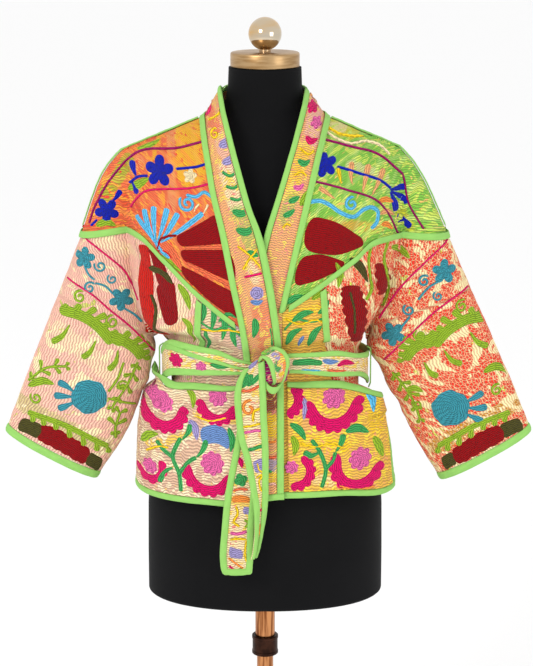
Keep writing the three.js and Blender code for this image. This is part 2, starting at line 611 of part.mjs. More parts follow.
// The back in one stretch: u runs 0 to 1 over the right upper arm, 1 to 2 over that shoulder, 2 to 3 behind
// the neck, and 3 to 5 the same way over the left side
function backPatches() {
  const fromEnd = (u) => (u < 2.5 ? { side: RIGHT, across: u } : { side: LEFT, across: 5 - u });
  const seamAt = (u) => {
    const { side, across } = fromEnd(u);
    const [cornerX, cornerZ] = BACK_CORNER[side];
    const outerZ = YOKE_SEAM[side][4][1];
    if (across <= 1) {
      const outerX = side * read(SLEEVE[side], 'z', outerZ, 'outer');
      return back(lerp(outerX, cornerX, across), lerp(outerZ, cornerZ, across));
    }
    if (across <= 2) {
      return back(lerp(cornerX, side * NECK_POINT.x, across - 1), lerp(cornerZ, BACK_SEAM, across - 1));
    }
    return back(-NECK_POINT.x * Math.cos(Math.PI * (u - 2)), BACK_SEAM);
  };
  const topAt = (u) => {
    const { side, across } = fromEnd(u);
    const tip = SLEEVE[side][9];
    if (across <= 1) {
      const z = lerp(YOKE_SEAM[side][4][1] + CORNER_HEIGHT, tip.z, across);
      return back(side * read(SLEEVE[side], 'z', z, 'outer'), z);
    }
    if (across > 2) return neckBack(u - 2);
    const x = side * lerp(tip.outer, NECK_POINT.x, across - 1);
    return back(x, shoulderHeight(x));
  };
  const yoke = (u, v) => {
    const [a, b] = [seamAt(u), topAt(u)];
    return back(lerp(a.x, b.x, v), lerp(a.z, b.z, v));
  };
  const edges = { [RIGHT]: sideEdge(RIGHT, 'back'), [LEFT]: sideEdge(LEFT, 'back') };
  const hemAngle = (u) => lerp(edges[RIGHT](0).angle, edges[LEFT](0).angle, (u - 1) / 3);
  const across = (s) => 1 + 3 * s;
  const blend = bodyPatch(
    (s) => ring(hemAngle(across(s)), HEM + BINDING), (s) => seamAt(across(s)), edges[RIGHT], edges[LEFT],
  );
  return { yoke, panel: (u, v) => blend((u - 1) / 3, v), seamAt, edges, hemAngle };
}

const ARM_OUT = [...ACROSS_SLEEVE];
const ARM_IN = reversedSteps(ACROSS_SLEEVE);
const SEAM_STEPS = [...CENTRE_STEPS.map((t) => t / 4), ...FLANK_STEPS.slice(1).map((t) => 0.25 + t / 2),
  ...ARM_OUT.slice(1).map((t) => 0.75 + t / 4)];
const BACK_MIDDLE = [...steps(4).map((t) => 1 + t), ...steps(8).slice(1).map((t) => 2 + t),
  ...steps(4).slice(1).map((t) => 3 + t)];
const BACK_STEPS = [...ARM_IN.slice(0, -1), ...BACK_MIDDLE, ...ARM_OUT.slice(1).map((t) => 4 + t)];
const BAR_STEPS = [0, 0.5, 1];
const middle = (t) => (t === 0.5 ? CROWN : 0);
const edgeBar = { thick: EDGE_THICK, rise: () => EDGE_RISE };
const slitSteps = ROWS.filter((v) => v <= SLIT_ROW + 0.001);

function makeSide(side, behind) {
  const name = sideName(side);
  const yoke = frontYokePatch(side);
  const { centre, flank, seamSide, end, angles } = frontPatches(side);
  const band = bandPatch(side);
  const sleeve = sleevePatch(side);
  const lay = (at) => inLayer(side, at);
  const pick = (right, left) => (side === RIGHT ? right : left);

  piece(`front_yoke_${name}`, pick('orange', 'leaf'), SEAM_STEPS, UPPER_STEPS, lay(yoke.at),
    { inset: RIDGE_INSET });
  piece(`front_panel_${name}`, pick('sand', 'mustard'), CENTRE_STEPS, ROWS, lay(centre));
  piece(`side_panel_${name}`, pick('pink', 'red'), FLANK_STEPS, ROWS, lay(flank));
  piece(`neckband_${name}`, 'apricot', BAND_WALL, bandRows, lay(band));
  piece(`front_edge_binding_${name}`, 'lime', BAND_EDGE, bandRows, lay(band),
    { ...edgeBar, ridge: (u) => (u === BAND_EDGE[1] ? CROWN : 0) });
  const sleeveSteps = [...ARM_OUT, ...ARM_IN.slice(1).map((s) => 1 + s)];
  const sleeveRows = [...ARMHOLE_ROWS, ...SLEEVE_ROWS.slice(1).map((v) => 1 + v)];
  piece(`sleeve_${name}`, pick('pink', 'red'), sleeveSteps, sleeveRows, sleeve.at);
  piece(`cuff_binding_${name}`, 'lime', sleeveSteps, BAR_STEPS, sleeve.cuffAt,
    { ...edgeBar, ridge: (u, v) => middle(v), inset: RIDGE_INSET });

  const backAt = (u) => (side === RIGHT ? 2 - u : 3 + u);
  const [yokeFrom, yokeTo] = TAPE_ENDS.yoke;
  const [shoulderFrom, shoulderTo] = TAPE_ENDS.shoulder;
  tape(`yoke_binding_${name}`, [yokeFrom, ...SEAM_STEPS.slice(1, -1), yokeTo], side, FOLD_CLEAR, yoke.seam,
    (t) => yoke.at(t, UPPER_STEPS[1]), (t) => {
      if (t <= 0.25) return centre(t * 4, ROWS[11]);
      return t <= 0.75 ? flank((t - 0.25) * 2, ROWS[11]) : sleeve.at((t - 0.75) * 4, ARMHOLE_ROWS[1]);
    });
  const covered = TAPE_ENDS.neckband[side];
  tape(`neckband_binding_${name}`, [...bandRows.filter((k) => k < covered), covered], side, TAPE_CLEAR,
    (k) => band(0, k), (k) => band(BAND_WALL[1], k), (k) => {
      if (k < 1) return behind.yoke(2 + (side === RIGHT ? 0.5 - k / 2 : 0.5 + k / 2), UPPER_STEPS[7]);
      return k <= 2 ? yoke.at(SEAM_STEPS[1], 2 - k) : centre(CENTRE_STEPS[1], 3 - k);
    });
  tape(`front_seam_binding_${name}`, [...ROWS.slice(8, -1), TAPE_ENDS.frontSeam], side, 0.8 * TAPE_CLEAR, seamSide,
    (v) => centre(CENTRE_STEPS[2], v), (v) => flank(FLANK_STEPS[1], v));
  const ridge = (u) => {
    const place = yoke.top(u);
    const [ahead, aback] = [face(place), face({ ...place, face: 'back' })];
    const point = ahead.point.add(aback.point).multiplyScalar(0.5);
    return { point, normal: ahead.normal.add(aback.normal).normalize() };
  };
  const overArm = (u) => (u <= 0.75 ? 1 - u / 0.75 : -(u - 0.75) * 4);
  tape(`shoulder_binding_${name}`, [shoulderFrom, ...SEAM_STEPS.slice(1, -1), shoulderTo], null, TAPE_CLEAR, ridge,
    (u) => yoke.at(u, UPPER_STEPS[7]), (u) => behind.yoke(backAt(1 - overArm(u)), UPPER_STEPS[7]));

  const slitAt = (u, v) => onBody(end(v).angle + u * side * BAR_DEGREES, end(v).z);
  piece(`slit_binding_front_${name}`, 'lime', BAR_STEPS, slitSteps, lay(slitAt), { ...edgeBar, ridge: middle });
  const bandColumns = [1, 0.9, 0.8, 0.42].map((u) => around(band(u, 3)));
  const hemAngles = [
    ...bandColumns, ...CENTRE_STEPS.map((u) => lerp(angles.band, angles.seam, u)),
    ...FLANK_STEPS.slice(1).map((u) => lerp(angles.seam, angles.side, u)), angles.side + side * BAR_DEGREES,
  ];
  const hemAt = (angle, v) => onBody(angle, frontHem(onBody(angle, HEM).x) + v * BINDING);
  const pocketed = (angle) => smooth(POCKET_EDGE.from, POCKET_EDGE.to, Math.abs(onBody(angle, HEM).x));
  piece(`hem_binding_front_${name}`, 'lime', hemAngles, BAR_STEPS, lay(hemAt), {
    thick: (angle) => lerp(EDGE_THICK, HEM_THICK, pocketed(angle)),
    rise: (angle) => lerp(EDGE_RISE, POCKET_LIFT, pocketed(angle)),
    ridge: (angle, v) => middle(v),
    inset: RIDGE_INSET,
  });
  makePocket(side, centre, flank);
}

// A patch pocket over the lower front, made from the points of the panels that it covers
function makePocket(side, centre, flank) {
  const name = sideName(side);
  const at = (u, level) => {
    const v = level * (1 - read(MOUTH[side], 'u', u, 'lower'));
    return u <= 1 ? centre(u, v) : flank(u - 1, v);
  };
  const us = [POCKET_START, ...CENTRE_STEPS.slice(1), ...FLANK_STEPS.slice(1).map((u) => 1 + u)];
  const rise = (u, v) => POCKET_LIFT + read(MOUTH[side], 'u', u, 'gape') * (v / POCKET_TOP) ** 2;
  const rows = ROWS.filter((v) => v < POCKET_TOP - 0.03);
  const mouth = POCKET_TOP - POCKET_MOUTH_SHARE;
  const lay = (place) => inLayer(side, place);
  piece(`pocket_${name}`, 'rose', us, [...rows, mouth], lay(at), { rise });
  piece(`pocket_binding_${name}`, 'lime', us, [mouth, (mouth + POCKET_TOP) / 2, POCKET_TOP], lay(at), {
    thick: EDGE_THICK - 1.4,
    rise: (u, v) => rise(u, v) + 0.6,
    ridge: (u, v) => (v > mouth && v < POCKET_TOP ? CROWN : 0),
  });
}

function makeBack(behind) {
  piece('back_yoke', 'leaf', BACK_STEPS, UPPER_STEPS, behind.yoke, { inset: RIDGE_INSET });
  piece('back_panel', 'orange', BACK_MIDDLE, ROWS, behind.panel);
  const sleeves = { [RIGHT]: sleevePatch(RIGHT), [LEFT]: sleevePatch(LEFT) };
  const [backFrom, backTo] = TAPE_ENDS.backYoke;
  tape('back_yoke_binding', [backFrom, ...BACK_STEPS.slice(1, -1), backTo], null, FOLD_CLEAR, behind.seamAt,
    (u) => behind.yoke(u, UPPER_STEPS[1]), (u) => {
      if (u >= 1 && u <= 4) return behind.panel(u, ROWS[11]);
      return u < 1 ? sleeves[RIGHT].at(1 + u, ARMHOLE_ROWS[1]) : sleeves[LEFT].at(6 - u, ARMHOLE_ROWS[1]);
    });
  for (const side of [RIGHT, LEFT]) {
    const edge = behind.edges[side];
    const slitAt = (u, v) => onBody(edge(v).angle - u * side * BAR_DEGREES, edge(v).z);
    piece(`slit_binding_back_${sideName(side)}`, 'lime', BAR_STEPS, slitSteps, slitAt, { ...edgeBar, ridge: middle });
  }
  const [right, left] = [behind.edges[RIGHT](0).angle, behind.edges[LEFT](0).angle];
  const hemAngles = [right + BAR_DEGREES, ...BACK_MIDDLE.map(behind.hemAngle), left - BAR_DEGREES];
  piece('hem_binding_back', 'lime', hemAngles, BAR_STEPS, (angle, v) => onBody(angle, HEM + v * BINDING),
    { ...edgeBar, ridge: (angle, v) => middle(v) });
}

// The sash: three stretches round the waist, its loops, the knot and the two hanging ends
const SASH_ROWS = [0, 0.19, 0.27, 0.5, 0.73, 0.81, 1];
const SASH_RIM = 1.2;         // the bound edges of the sash stand out by this much
const SASH_SWELL = 0.9;
function sashPoint(azimuth, v, out = 0) {
  const turn = azimuth > 180 ? azimuth - 360 : azimuth;
  const radius = sashRadius(turn) + out;
  const normal = new THREE.Vector3(Math.sin(radians(turn)), -Math.cos(radians(turn)), 0);
  const point = normal.clone().multiplyScalar(radius);
  point.z = lerp(read(SASH, 'azimuth', turn, 'low'), read(SASH, 'azimuth', turn, 'high'), v);
  return { point, normal };
}
// A belt loop: how far it stands out over the sash, v 0 at the sash's lower edge and 1 at its upper edge
const LOOP_DEGREES = 3.6;
const LOOP = [
  { v: -0.13, out: 0.6 }, { v: -0.07, out: 2 }, { v: 0, out: 3.4 },
  { v: 1, out: 3.4 }, { v: 1.07, out: 2 }, { v: 1.14, out: -3.5 },
];
function makeSash() {
  const swell = (v) => (v === 0.5 ? SASH_SWELL : 0);
  const rim = (u, v) => (v < 0.2 || v > 0.8 ? SASH_RIM : swell(v));
  const stretches = { sash_right: [-90, -10, 7], sash_left: [21, 90, 6], sash_back: [90, 270, 14] };
  for (const [name, [from, to, count]] of Object.entries(stretches)) {
    const azimuths = steps(count).map((t) => lerp(from, to, t));
    piece(name, 'apricot', azimuths, SASH_ROWS, sashPoint, { thick: SASH_THICK, ridge: rim });
  }
  for (const [name, azimuth] of [['belt_loop_right', -86], ['belt_loop_left', 84]]) {
    const at = (u, v) => sashPoint(azimuth + (u - 0.5) * LOOP_DEGREES, v, read(LOOP, 'v', v, 'out'));
    piece(name, 'lime', [0, 1], LOOP.map((row) => row.v), at, { thick: TAPE_THICK });
  }
}

// The knot: a rounded bundle with the grooves of the wraps, flattened against the body
const KNOT = { x: 14, y: -147.9, z: 1039, width: 25, depth: 11, height: 33, wraps: 3, groove: 0.09 };
function makeKnot() {
  const columns = 18;
  const rows = 12;
  const positions = [];
  const index = [];
  for (let i = 0; i <= rows; i += 1) {
    const polar = Math.PI * (i / rows);
    for (let j = 0; j < columns; j += 1) {
      const turn = (2 * Math.PI * j) / columns;
      const [a, b, c] = [Math.sin(polar) * Math.cos(turn), Math.sin(polar) * Math.sin(turn), Math.cos(polar)];
      const square = (Math.abs(a) ** 3 + Math.abs(b) ** 3 + Math.abs(c) ** 3) ** (-1 / 3);
      const groove = 1 - KNOT.groove * Math.cos(KNOT.wraps * Math.PI * (a + 0.35 * c)) ** 2;
      positions.push(KNOT.x + KNOT.width * a * square * groove, KNOT.y + KNOT.depth * b * square * groove,
        KNOT.z + KNOT.height * c * square);
    }
  }
  for (let i = 0; i < rows; i += 1) {
    for (let j = 0; j < columns; j += 1) {
      const next = (j + 1) % columns;
      const [p, q, r, s] = [i * columns + j, i * columns + next, (i + 1) * columns + j, (i + 1) * columns + next];
      if (i > 0) index.push(p, r, q);
      if (i < rows - 1) index.push(q, r, s);
    }
  }
  addRounded(jacket, 'sash_knot', positions, index, rows, columns, cloth('apricot'));
}

// Adds a rounded solid whose first and last ring are each one point
function addRounded(group, name, positions, index, rows, columns, material) {
  const geometry = new THREE.BufferGeometry();
  const kept = [...positions.slice(0, 3), ...positions.slice(columns * 3, rows * columns * 3),
    ...positions.slice(rows * columns * 3, rows * columns * 3 + 3)];
  const renumber = (i) => {
    if (i < columns) return 0;
    return i >= rows * columns ? 1 + (rows - 1) * columns : i - columns + 1;
  };
  geometry.setAttribute('position', new THREE.Float32BufferAttribute(kept, 3));
  geometry.setIndex(index.map(renumber));
  const mesh = new THREE.Mesh(facingOut(geometry), material);
  mesh.name = name;
  group.add(mesh);
}

// The hanging ends: left and right edge and their depths at each height
const TAIL_FRONT = [
  { z: 737, x1: -20, x2: -14, y1: -175, y2: -165 }, { z: 752, x1: -17, x2: -9, y1: -177, y2: -165 },
  { z: 780, x1: -15, x2: -3, y1: -178, y2: -164 }, { z: 815, x1: -16, x2: 3, y1: -175, y2: -163 },
  { z: 845, x1: -21, x2: 5, y1: -172, y2: -163 }, { z: 872, x1: -26, x2: 5, y1: -168, y2: -161 },
  { z: 900, x1: -32, x2: 5, y1: -163, y2: -160 }, { z: 928, x1: -40, x2: 3, y1: -158, y2: -157 },
  { z: 960, x1: -44, x2: 2, y1: -154, y2: -153 }, { z: 990, x1: -45, x2: 1, y1: -148.3, y2: -148 },
  { z: 1004, x1: -30, x2: 4, y1: -146, y2: -146 },
];
const TAIL_BACK = [
  { z: 705, x1: -55, x2: -29, y1: -160, y2: -158 }, { z: 710, x1: -63, x2: -23, y1: -160, y2: -158 },
  { z: 722, x1: -68, x2: -20, y1: -160, y2: -158 }, { z: 740, x1: -69, x2: -19, y1: -161, y2: -159 },
  { z: 782, x1: -66, x2: -18, y1: -162, y2: -160 }, { z: 826, x1: -62, x2: -14, y1: -161.5, y2: -160 },
  { z: 870, x1: -55, x2: -10, y1: -158, y2: -157.5 }, { z: 915, x1: -46, x2: -6, y1: -152, y2: -152 },
  { z: 940, x1: -42, x2: -6, y1: -148.5, y2: -148.5 }, { z: 985, x1: -38, x2: -2, y1: -143.5, y2: -143.5 },
  { z: 1002, x1: -26, x2: 0, y1: -142, y2: -142 },
];
function makeTail(name, table) {
  const at = (u, z) => {
    const edge = (t) => new THREE.Vector3(
      lerp(read(table, 'z', z, 'x1'), read(table, 'z', z, 'x2'), t),
      lerp(read(table, 'z', z, 'y1'), read(table, 'z', z, 'y2'), t), z,
    );
    const across = edge(1).sub(edge(0));
    return { point: edge(u), normal: new THREE.Vector3(across.y, -across.x, 0).normalize() };
  };
  const rim = (u) => (u < 0.22 || u > 0.78 ? SASH_RIM : 0);
  const across = [0, 0.2, 0.26, 0.74, 0.8, 1];
  piece(name, 'apricot', across, table.map((row) => row.z), at, { thick: SASH_THICK, ridge: rim });
}

// The dress form: half width, front and back depth at each height
const FORM = [
  { z: 631, half: 190, front: 118, back: 118 }, { z: 700, half: 190, front: 120, back: 121 },
  { z: 780, half: 189, front: 122, back: 121 }, { z: 860, half: 184, front: 120, back: 117 },
  { z: 930, half: 168, front: 113, back: 106 }, { z: 975, half: 148, front: 103, back: 96 },
  { z: 1010, half: 136, front: 98, back: 90 }, { z: 1050, half: 136, front: 100, back: 91 },
  { z: 1100, half: 148, front: 112, back: 98 }, { z: 1160, half: 160, front: 122, back: 104 },
  { z: 1220, half: 168, front: 121, back: 106 }, { z: 1280, half: 176, front: 110, back: 100 },
  { z: 1325, half: 184, front: 92, back: 88 }, { z: 1346, half: 182, front: 80, back: 78 },
  { z: 1366, half: 168, front: 70, back: 68 }, { z: 1385, half: 126, front: 62, back: 62 },
  { z: 1399, half: 92, front: 58, back: 60 }, { z: 1411, half: 72, front: 56, back: 59 },
  { z: 1428, half: 61, front: 55, back: 58 }, { z: 1450, half: 57.5, front: 54, back: 57 },
  { z: 1478, half: 56.5, front: 54, back: 56 },
];
const FORM_FULLNESS = 2.15;
const BORE = { radius: 16.4, top: 1240 };
const TUBE = { radius: 16, bore: 14.2, bottom: 549.3, top: 1239 };
const COLLAR = { radius: 21.5, bore: 13.9, bottom: 517, top: 549 };
const ROD = { radius: 13.4, bottom: 45.3, top: 790 };
const CAP = { radius: 53.5, bottom: 1478.4, top: 1501 };
const BALL = { radius: 25.7, centre: 1529, stem: 9 };
const BASE = { radius: 190, edge: 9, boss: 24, height: 45 };
const ROUND_SEGMENTS = 24;

function makeTorso() {
  const columns = 32;
  const rings = [];
  const circle = (radius, z) => rings.push(Array.from({ length: columns }, (_, j) => {
    const turn = (2 * Math.PI * j) / columns;
    return [radius * Math.cos(turn), radius * Math.sin(turn), z];
  }));
  circle(0, BORE.top);
  circle(BORE.radius, BORE.top);
  circle(BORE.radius, FORM[0].z);
  for (const row of FORM) {
    rings.push(Array.from({ length: columns }, (_, j) => {
      const turn = (2 * Math.PI * j) / columns;
      const power = 2 / FORM_FULLNESS;
      const [c, s] = [Math.cos(turn), Math.sin(turn)];
      const depth = s < 0 ? row.front : row.back;
      return [row.half * Math.sign(c) * Math.abs(c) ** power, depth * Math.sign(s) * Math.abs(s) ** power, row.z];
    }));
  }
  circle(0, FORM[FORM.length - 1].z);
  const rows = rings.length - 1;
  const index = [];
  for (let i = 0; i < rows; i += 1) {
    for (let j = 0; j < columns; j += 1) {
      const next = (j + 1) % columns;
      const [p, q, r, s] = [i * columns + j, i * columns + next, (i + 1) * columns + j, (i + 1) * columns + next];
      if (i > 0) index.push(p, r, q);
      if (i < rows - 1) index.push(q, r, s);
    }
  }
  addRounded(form, 'form_torso', rings.flat(2), index, rows, columns, cloth('black'));
}

// A turned solid from a profile of [radius, height] pairs
function addTurned(group, name, material, profile) {
  const geometry = new THREE.LatheGeometry(profile.map(([r, z]) => new THREE.Vector2(r, z)), ROUND_SEGMENTS);
  geometry.rotateX(Math.PI / 2);
  const mesh = new THREE.Mesh(geometry, material);
  mesh.name = name;
  group.add(mesh);
}
const pipe = ({ radius, bore, bottom, top }) => [
  [bore, bottom], [radius, bottom], [radius, top], [bore, top], [bore, bottom],
];

function makeStand() {
  const { radius, edge, boss, height } = BASE;
  addTurned(stand, 'base', metal('bronze', 0.45),
    [[0, 0], [radius, 0], [radius, edge], [radius - 6, edge + 5], [boss + 6, edge + 13], [boss, edge + 18],
      [boss, height - 3], [boss - 3, height], [0, height]]);
  addTurned(stand, 'rod', metal('brass', 0.3),
    [[0, ROD.bottom], [ROD.radius, ROD.bottom], [ROD.radius, ROD.top], [0, ROD.top]]);
  addTurned(stand, 'collar', metal('bronze', 0.4), pipe(COLLAR));
  addTurned(form, 'upper_tube', metal('brass', 0.3), pipe(TUBE));
  addTurned(form, 'neck_cap', metal('brass', 0.4),
    [[0, CAP.bottom], [CAP.radius - 1, CAP.bottom], [CAP.radius, CAP.bottom + 1.5],
      [CAP.radius, CAP.top - 1.5], [CAP.radius - 1.5, CAP.top], [0, CAP.top]]);
  const sunk = Math.asin(BALL.stem / BALL.radius);
  const sphere = steps(10).map((t) => Math.PI - sunk - t * (Math.PI - sunk));
  const arc = sphere.map((a) => [BALL.radius * Math.sin(a), BALL.centre + BALL.radius * Math.cos(a)]);
  arc[arc.length - 1][0] = 0;
  addTurned(form, 'finial_ball', metal('chrome', 0.12), [[0, CAP.top + 0.3], [BALL.stem, CAP.top + 0.3], ...arc]);
}

const behind = backPatches();
makeSide(RIGHT, behind);
makeSide(LEFT, behind);
makeBack(behind);
makeSash();
makeKnot();
makeTail('sash_tail_front', TAIL_FRONT);
makeTail('sash_tail_back', TAIL_BACK);
makeTorso();
makeStand();

const kanthaJacketOnForm = new THREE.Group();
kanthaJacketOnForm.add(stand, form, jacket);
export default kanthaJacketOnForm;
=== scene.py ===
import math
import bpy
import bmesh
import numpy as np
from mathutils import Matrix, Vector


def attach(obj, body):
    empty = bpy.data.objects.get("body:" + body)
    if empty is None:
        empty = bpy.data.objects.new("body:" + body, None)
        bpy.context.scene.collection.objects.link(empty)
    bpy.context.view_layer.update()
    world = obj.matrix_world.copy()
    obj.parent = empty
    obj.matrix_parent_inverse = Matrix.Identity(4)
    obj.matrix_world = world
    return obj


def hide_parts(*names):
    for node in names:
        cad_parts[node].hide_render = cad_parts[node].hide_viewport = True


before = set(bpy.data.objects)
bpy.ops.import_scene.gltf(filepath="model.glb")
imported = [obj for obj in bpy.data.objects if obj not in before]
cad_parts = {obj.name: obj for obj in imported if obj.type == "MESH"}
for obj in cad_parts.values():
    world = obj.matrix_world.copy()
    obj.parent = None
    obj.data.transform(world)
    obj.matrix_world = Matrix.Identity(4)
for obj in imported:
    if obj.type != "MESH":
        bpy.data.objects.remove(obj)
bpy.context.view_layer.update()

right, left = -1, 1  # the wearer's sides, as signs of x

# sizes, in millimetres
cut = {"cloth": 2.2, "seamGap": 0.25, "binding": 11.0, "tape": 1.4, "tapeClear": 1.5, "foldClear": 1.9,
       "edge": 4.4, "crown": 0.7, "hem": 6.8, "edgeRise": 1.1, "lap": 8.8, "lapFrom": -104, "lapTo": -44,
       "pocketLift": 3.1}
heights = {"hem": 815, "hemRise": 12, "chest": 1215, "backSeam": 1217, "armpit": 1046}
neck = {"x": 94, "z": 1402, "climb": 1.4, "sideX": 63, "sideZ": 1447, "drop": 8}

bodyTable = {
    "z": [800, 883, 930, 975, 1010, 1046, 1075, 1112, 1180, 1228, 1460],
    "right": [207, 199, 187, 166, 158, 170, 187, 203, 210, 214, 214],
    "left": [210, 200, 190, 170, 158, 155, 166, 183, 203, 212, 212],
    "front": [146, 141, 133, 122, 116, 121, 131, 137, 141, 139, 139],
    "back": [130, 127, 121, 112, 106, 108, 111, 114, 118, 119, 119],
}
sleeveTable = {
    right: {"z": [790, 818, 903, 948, 986, 1046, 1112, 1218, 1302, 1349, 1402],
            "inner": [292, 273, 219, 199, 184, 173, 196, 192, 150, 118, 80],
            "outer": [459, 448, 414, 396, 381, 357, 330, 287.5, 257, 222, 94],
            "depth": [27, 29, 35, 38, 40, 43, 45, 46, 38, 24, 0]},
    left: {"z": [790, 815, 892, 948, 1004, 1046, 1112, 1217, 1302, 1354, 1402],
           "inner": [298, 284, 238, 208, 179, 160.5, 176, 188, 146, 112, 80],
           "outer": [470, 459, 429, 406, 382, 363, 333, 286, 247, 208, 94],
           "depth": [27, 29, 35, 38, 41, 43, 45, 46, 38, 24, 0]},
}
shoulderTip = {right: (222, 1349), left: (208, 1354)}
cuffEnds = {right: ((-273, 818), (-416, 897)), left: ((284, 815), (427, 897))}
bandLines = {
    right: {"outer": ([(-94, 1402), (-85, 1349), (-76, 1298), (-62, 1239), (-48, 1165), (-34, 1096)],
                      [(-34, 1096), (-27, 1040), (-26, 960), (-26, 815)]),
            "inner": ([(-63, 1447), (-41, 1360), (-21, 1285), (-3, 1235), (12, 1165), (22, 1096)],
                      [(22, 1096), (27, 1040), (29, 960), (29, 827)])},
    left: {"outer": ([(94, 1402), (81, 1358), (69, 1311), (57, 1261), (42, 1195), (26, 1120)],
                     [(26, 1120), (26, 1050), (26, 960), (26, 815)]),
           "inner": ([(63, 1447), (38, 1365), (17, 1297), (-1, 1240), (-15, 1180), (-23, 1120)],
                     [(-23, 1120), (-27, 1050), (-29, 960), (-29, 815)])},
}
yokeSeam = {right: [(-34, 1096), (-99, 1144), (-152, 1195), (-202, 1230), (-287.5, 1218)],
            left: [(26, 1120), (87, 1163), (135, 1198), (175, 1223), (286, 1217)]}
frontSeam = {right: [(-99, 1144), (-105, 1060), (-112, 940), (-116, 815)],
             left: [(87, 1163), (95, 1070), (112, 940), (122, 815)]}
armholes = {right: {"front": [(-202, 1230), (-190, 1120), (-169.5, 1046)],
                    "back": [(-202, 1220), (-190, 1120), (-169.5, 1046)]},
            left: {"front": [(175, 1223), (171, 1123), (154.5, 1046)],
                   "back": [(203, 1220), (178, 1120), (154.5, 1046)]}}
backCorner = {right: (-202, 1220), left: (203, 1220)}
slitAzimuth = {right: -96, left: 79}
barDegrees, slitGap, cornerHeight, outerArmpit = 3.9, 0.5, 8, 1112

sashTable = {  # lower and upper edge by azimuth, 0 in front and 90 at the wearer's left
    "azimuth": [-180, -90, -58, -32, -14, -4, 17, 41, 62, 90, 180],
    "low": [966, 978, 1010, 1019, 1022, 1024, 1024, 1015, 1006, 976, 966],
    "high": [1022, 1034, 1065, 1060, 1044, 1040, 1055, 1055, 1042, 1032, 1022],
}
sashRing = {"side": 163, "front": 135.2, "back": 118, "fullness": 2.5, "stack": 14.5, "thick": 2.4}
pinch = {"belowFar": 24, "belowNear": 3, "aboveNear": 3, "aboveFar": 22, "top": 1110}
gathers = {"waves": 5, "height": 2.6, "reach": 46}
pocketMouth = {
    right: {"u": [0, 1, 1.35, 1.7, 2], "gape": [0, 1, 7.5, 23, 31], "lower": [0, 0.01, 0.032, 0, 0]},
    left: {"u": [0, 1, 1.5, 2], "gape": [0, 1, 3, 9], "lower": [0, 0.01, 0.06, 0.16]},
}

# x1, z1, x2, z2, width, depth of each soft trough; the first ten are the solids' own
creases = [
    (-176, 1056, -262, 1092, 13, 5), (-186, 1010, -292, 1012, 15, 5), (-196, 962, -268, 936, 14, 4),
    (-196, 1190, -150, 1120, 16, 5), (-216, 1246, -196, 1318, 18, 6), (165, 1060, 250, 1104, 13, 5),
    (188, 1004, 290, 1018, 15, 5), (214, 944, 288, 932, 14, 4), (192, 1196, 140, 1130, 16, 5),
    (214, 1240, 190, 1316, 18, 6),
]
fineCreases = [
    (-183, 1030, -240, 1046, 5, 1.8), (-186, 990, -250, 984, 6, 1.6), (-178, 1070, -220, 1100, 6, 1.6),
    (-206, 930, -250, 900, 7, 1.4), (-168, 1160, -128, 1098, 7, 1.6), (-150, 1105, -112, 1078, 6, 1.4),
    (172, 1032, 230, 1050, 5, 1.8), (184, 986, 250, 984, 6, 1.6), (170, 1076, 214, 1108, 6, 1.6),
    (226, 920, 262, 900, 7, 1.4), (166, 1160, 132, 1100, 7, 1.6), (146, 1110, 118, 1082, 6, 1.4),
    (-84, 1008, -88, 930, 9, 1.8), (-52, 1006, -50, 940, 8, 1.5), (74, 1004, 78, 930, 9, 1.8),
    (48, 1006, 48, 950, 8, 1.4), (-128, 1000, -140, 930, 9, 1.6), (122, 1000, 136, 930, 9, 1.6),
    (-72, 1072, -66, 1116, 8, 1.4), (66, 1070, 62, 1120, 8, 1.4), (-232, 1276, -214, 1322, 7, 1.6),
    (228, 1270, 206, 1322, 7, 1.6),
]


# the form of the cloth
def lerp(a, b, t):
    return a + (b - a) * t


def clamp(v, low=0.0, high=1.0):
    return np.minimum(high, np.maximum(low, v))


def smooth(low, high, v):
    t = clamp((v - low) / (high - low))
    return t * t * (3 - 2 * t)


def read(table, key, value, column):
    k, c = np.array(table[key], float), np.array(table[column], float)
    value = np.asarray(value, float)
    i = np.clip(np.searchsorted(k, value, side="right") - 1, 0, len(k) - 2)
    span = np.diff(k)
    slope = np.diff(c) / span
    both = slope[:-1] * slope[1:]
    total = slope[:-1] + slope[1:]
    inner = np.where(both > 0, 2 * both / np.where(both > 0, total, 1), 0)
    tangent = np.concatenate([slope[:1], inner, slope[-1:]])
    t = clamp((value - k[i]) / span[i])
    start, end = tangent[i] * span[i], tangent[i + 1] * span[i]
    return ((2 * t**3 - 3 * t**2 + 1) * c[i] + (t**3 - 2 * t**2 + t) * start
            + (3 * t**2 - 2 * t**3) * c[i + 1] + (t**3 - t**2) * end)


def bySide(x, pick):
    return np.where(np.asarray(x) < 0, pick(right), pick(left))


def roundOff(t, fullness):
    return (1 - clamp(np.abs(t)) ** fullness) ** (1 / fullness)


def shoulderHeight(x):
    across = np.abs(x) - neck["x"]
    fall = bySide(x, lambda s: (neck["z"] - shoulderTip[s][1]) / (shoulderTip[s][0] - neck["x"]))
    return neck["z"] - across * np.where(across > 0, fall, neck["climb"])


def halfWidth(x, z):
    return bySide(x, lambda s: read(bodyTable, "z", z, "right" if s == right else "left"))


def sleeveAt(x, z, column):
    return bySide(x, lambda s: read(sleeveTable[s], "z", z, column))


def clothDepth(back, x, z):
    width = np.abs(x)
    up = clamp((z - heights["chest"]) / (shoulderHeight(x) - heights["chest"]))
    depth = np.where(back, read(bodyTable, "z", z, "back"), read(bodyTable, "z", z, "front"))
    body = depth * roundOff(width / halfWidth(x, z), 2.5) * roundOff(up, np.where(back, 2.4, 2.0))
    inner, outer = sleeveAt(x, z, "inner"), sleeveAt(x, z, "outer")
    sleeve = sleeveAt(x, z, "depth") * roundOff((2 * width - inner - outer) / (outer - inner), 2.2)
    return (body**3.2 + sleeve**3.2) ** (1 / 3.2)


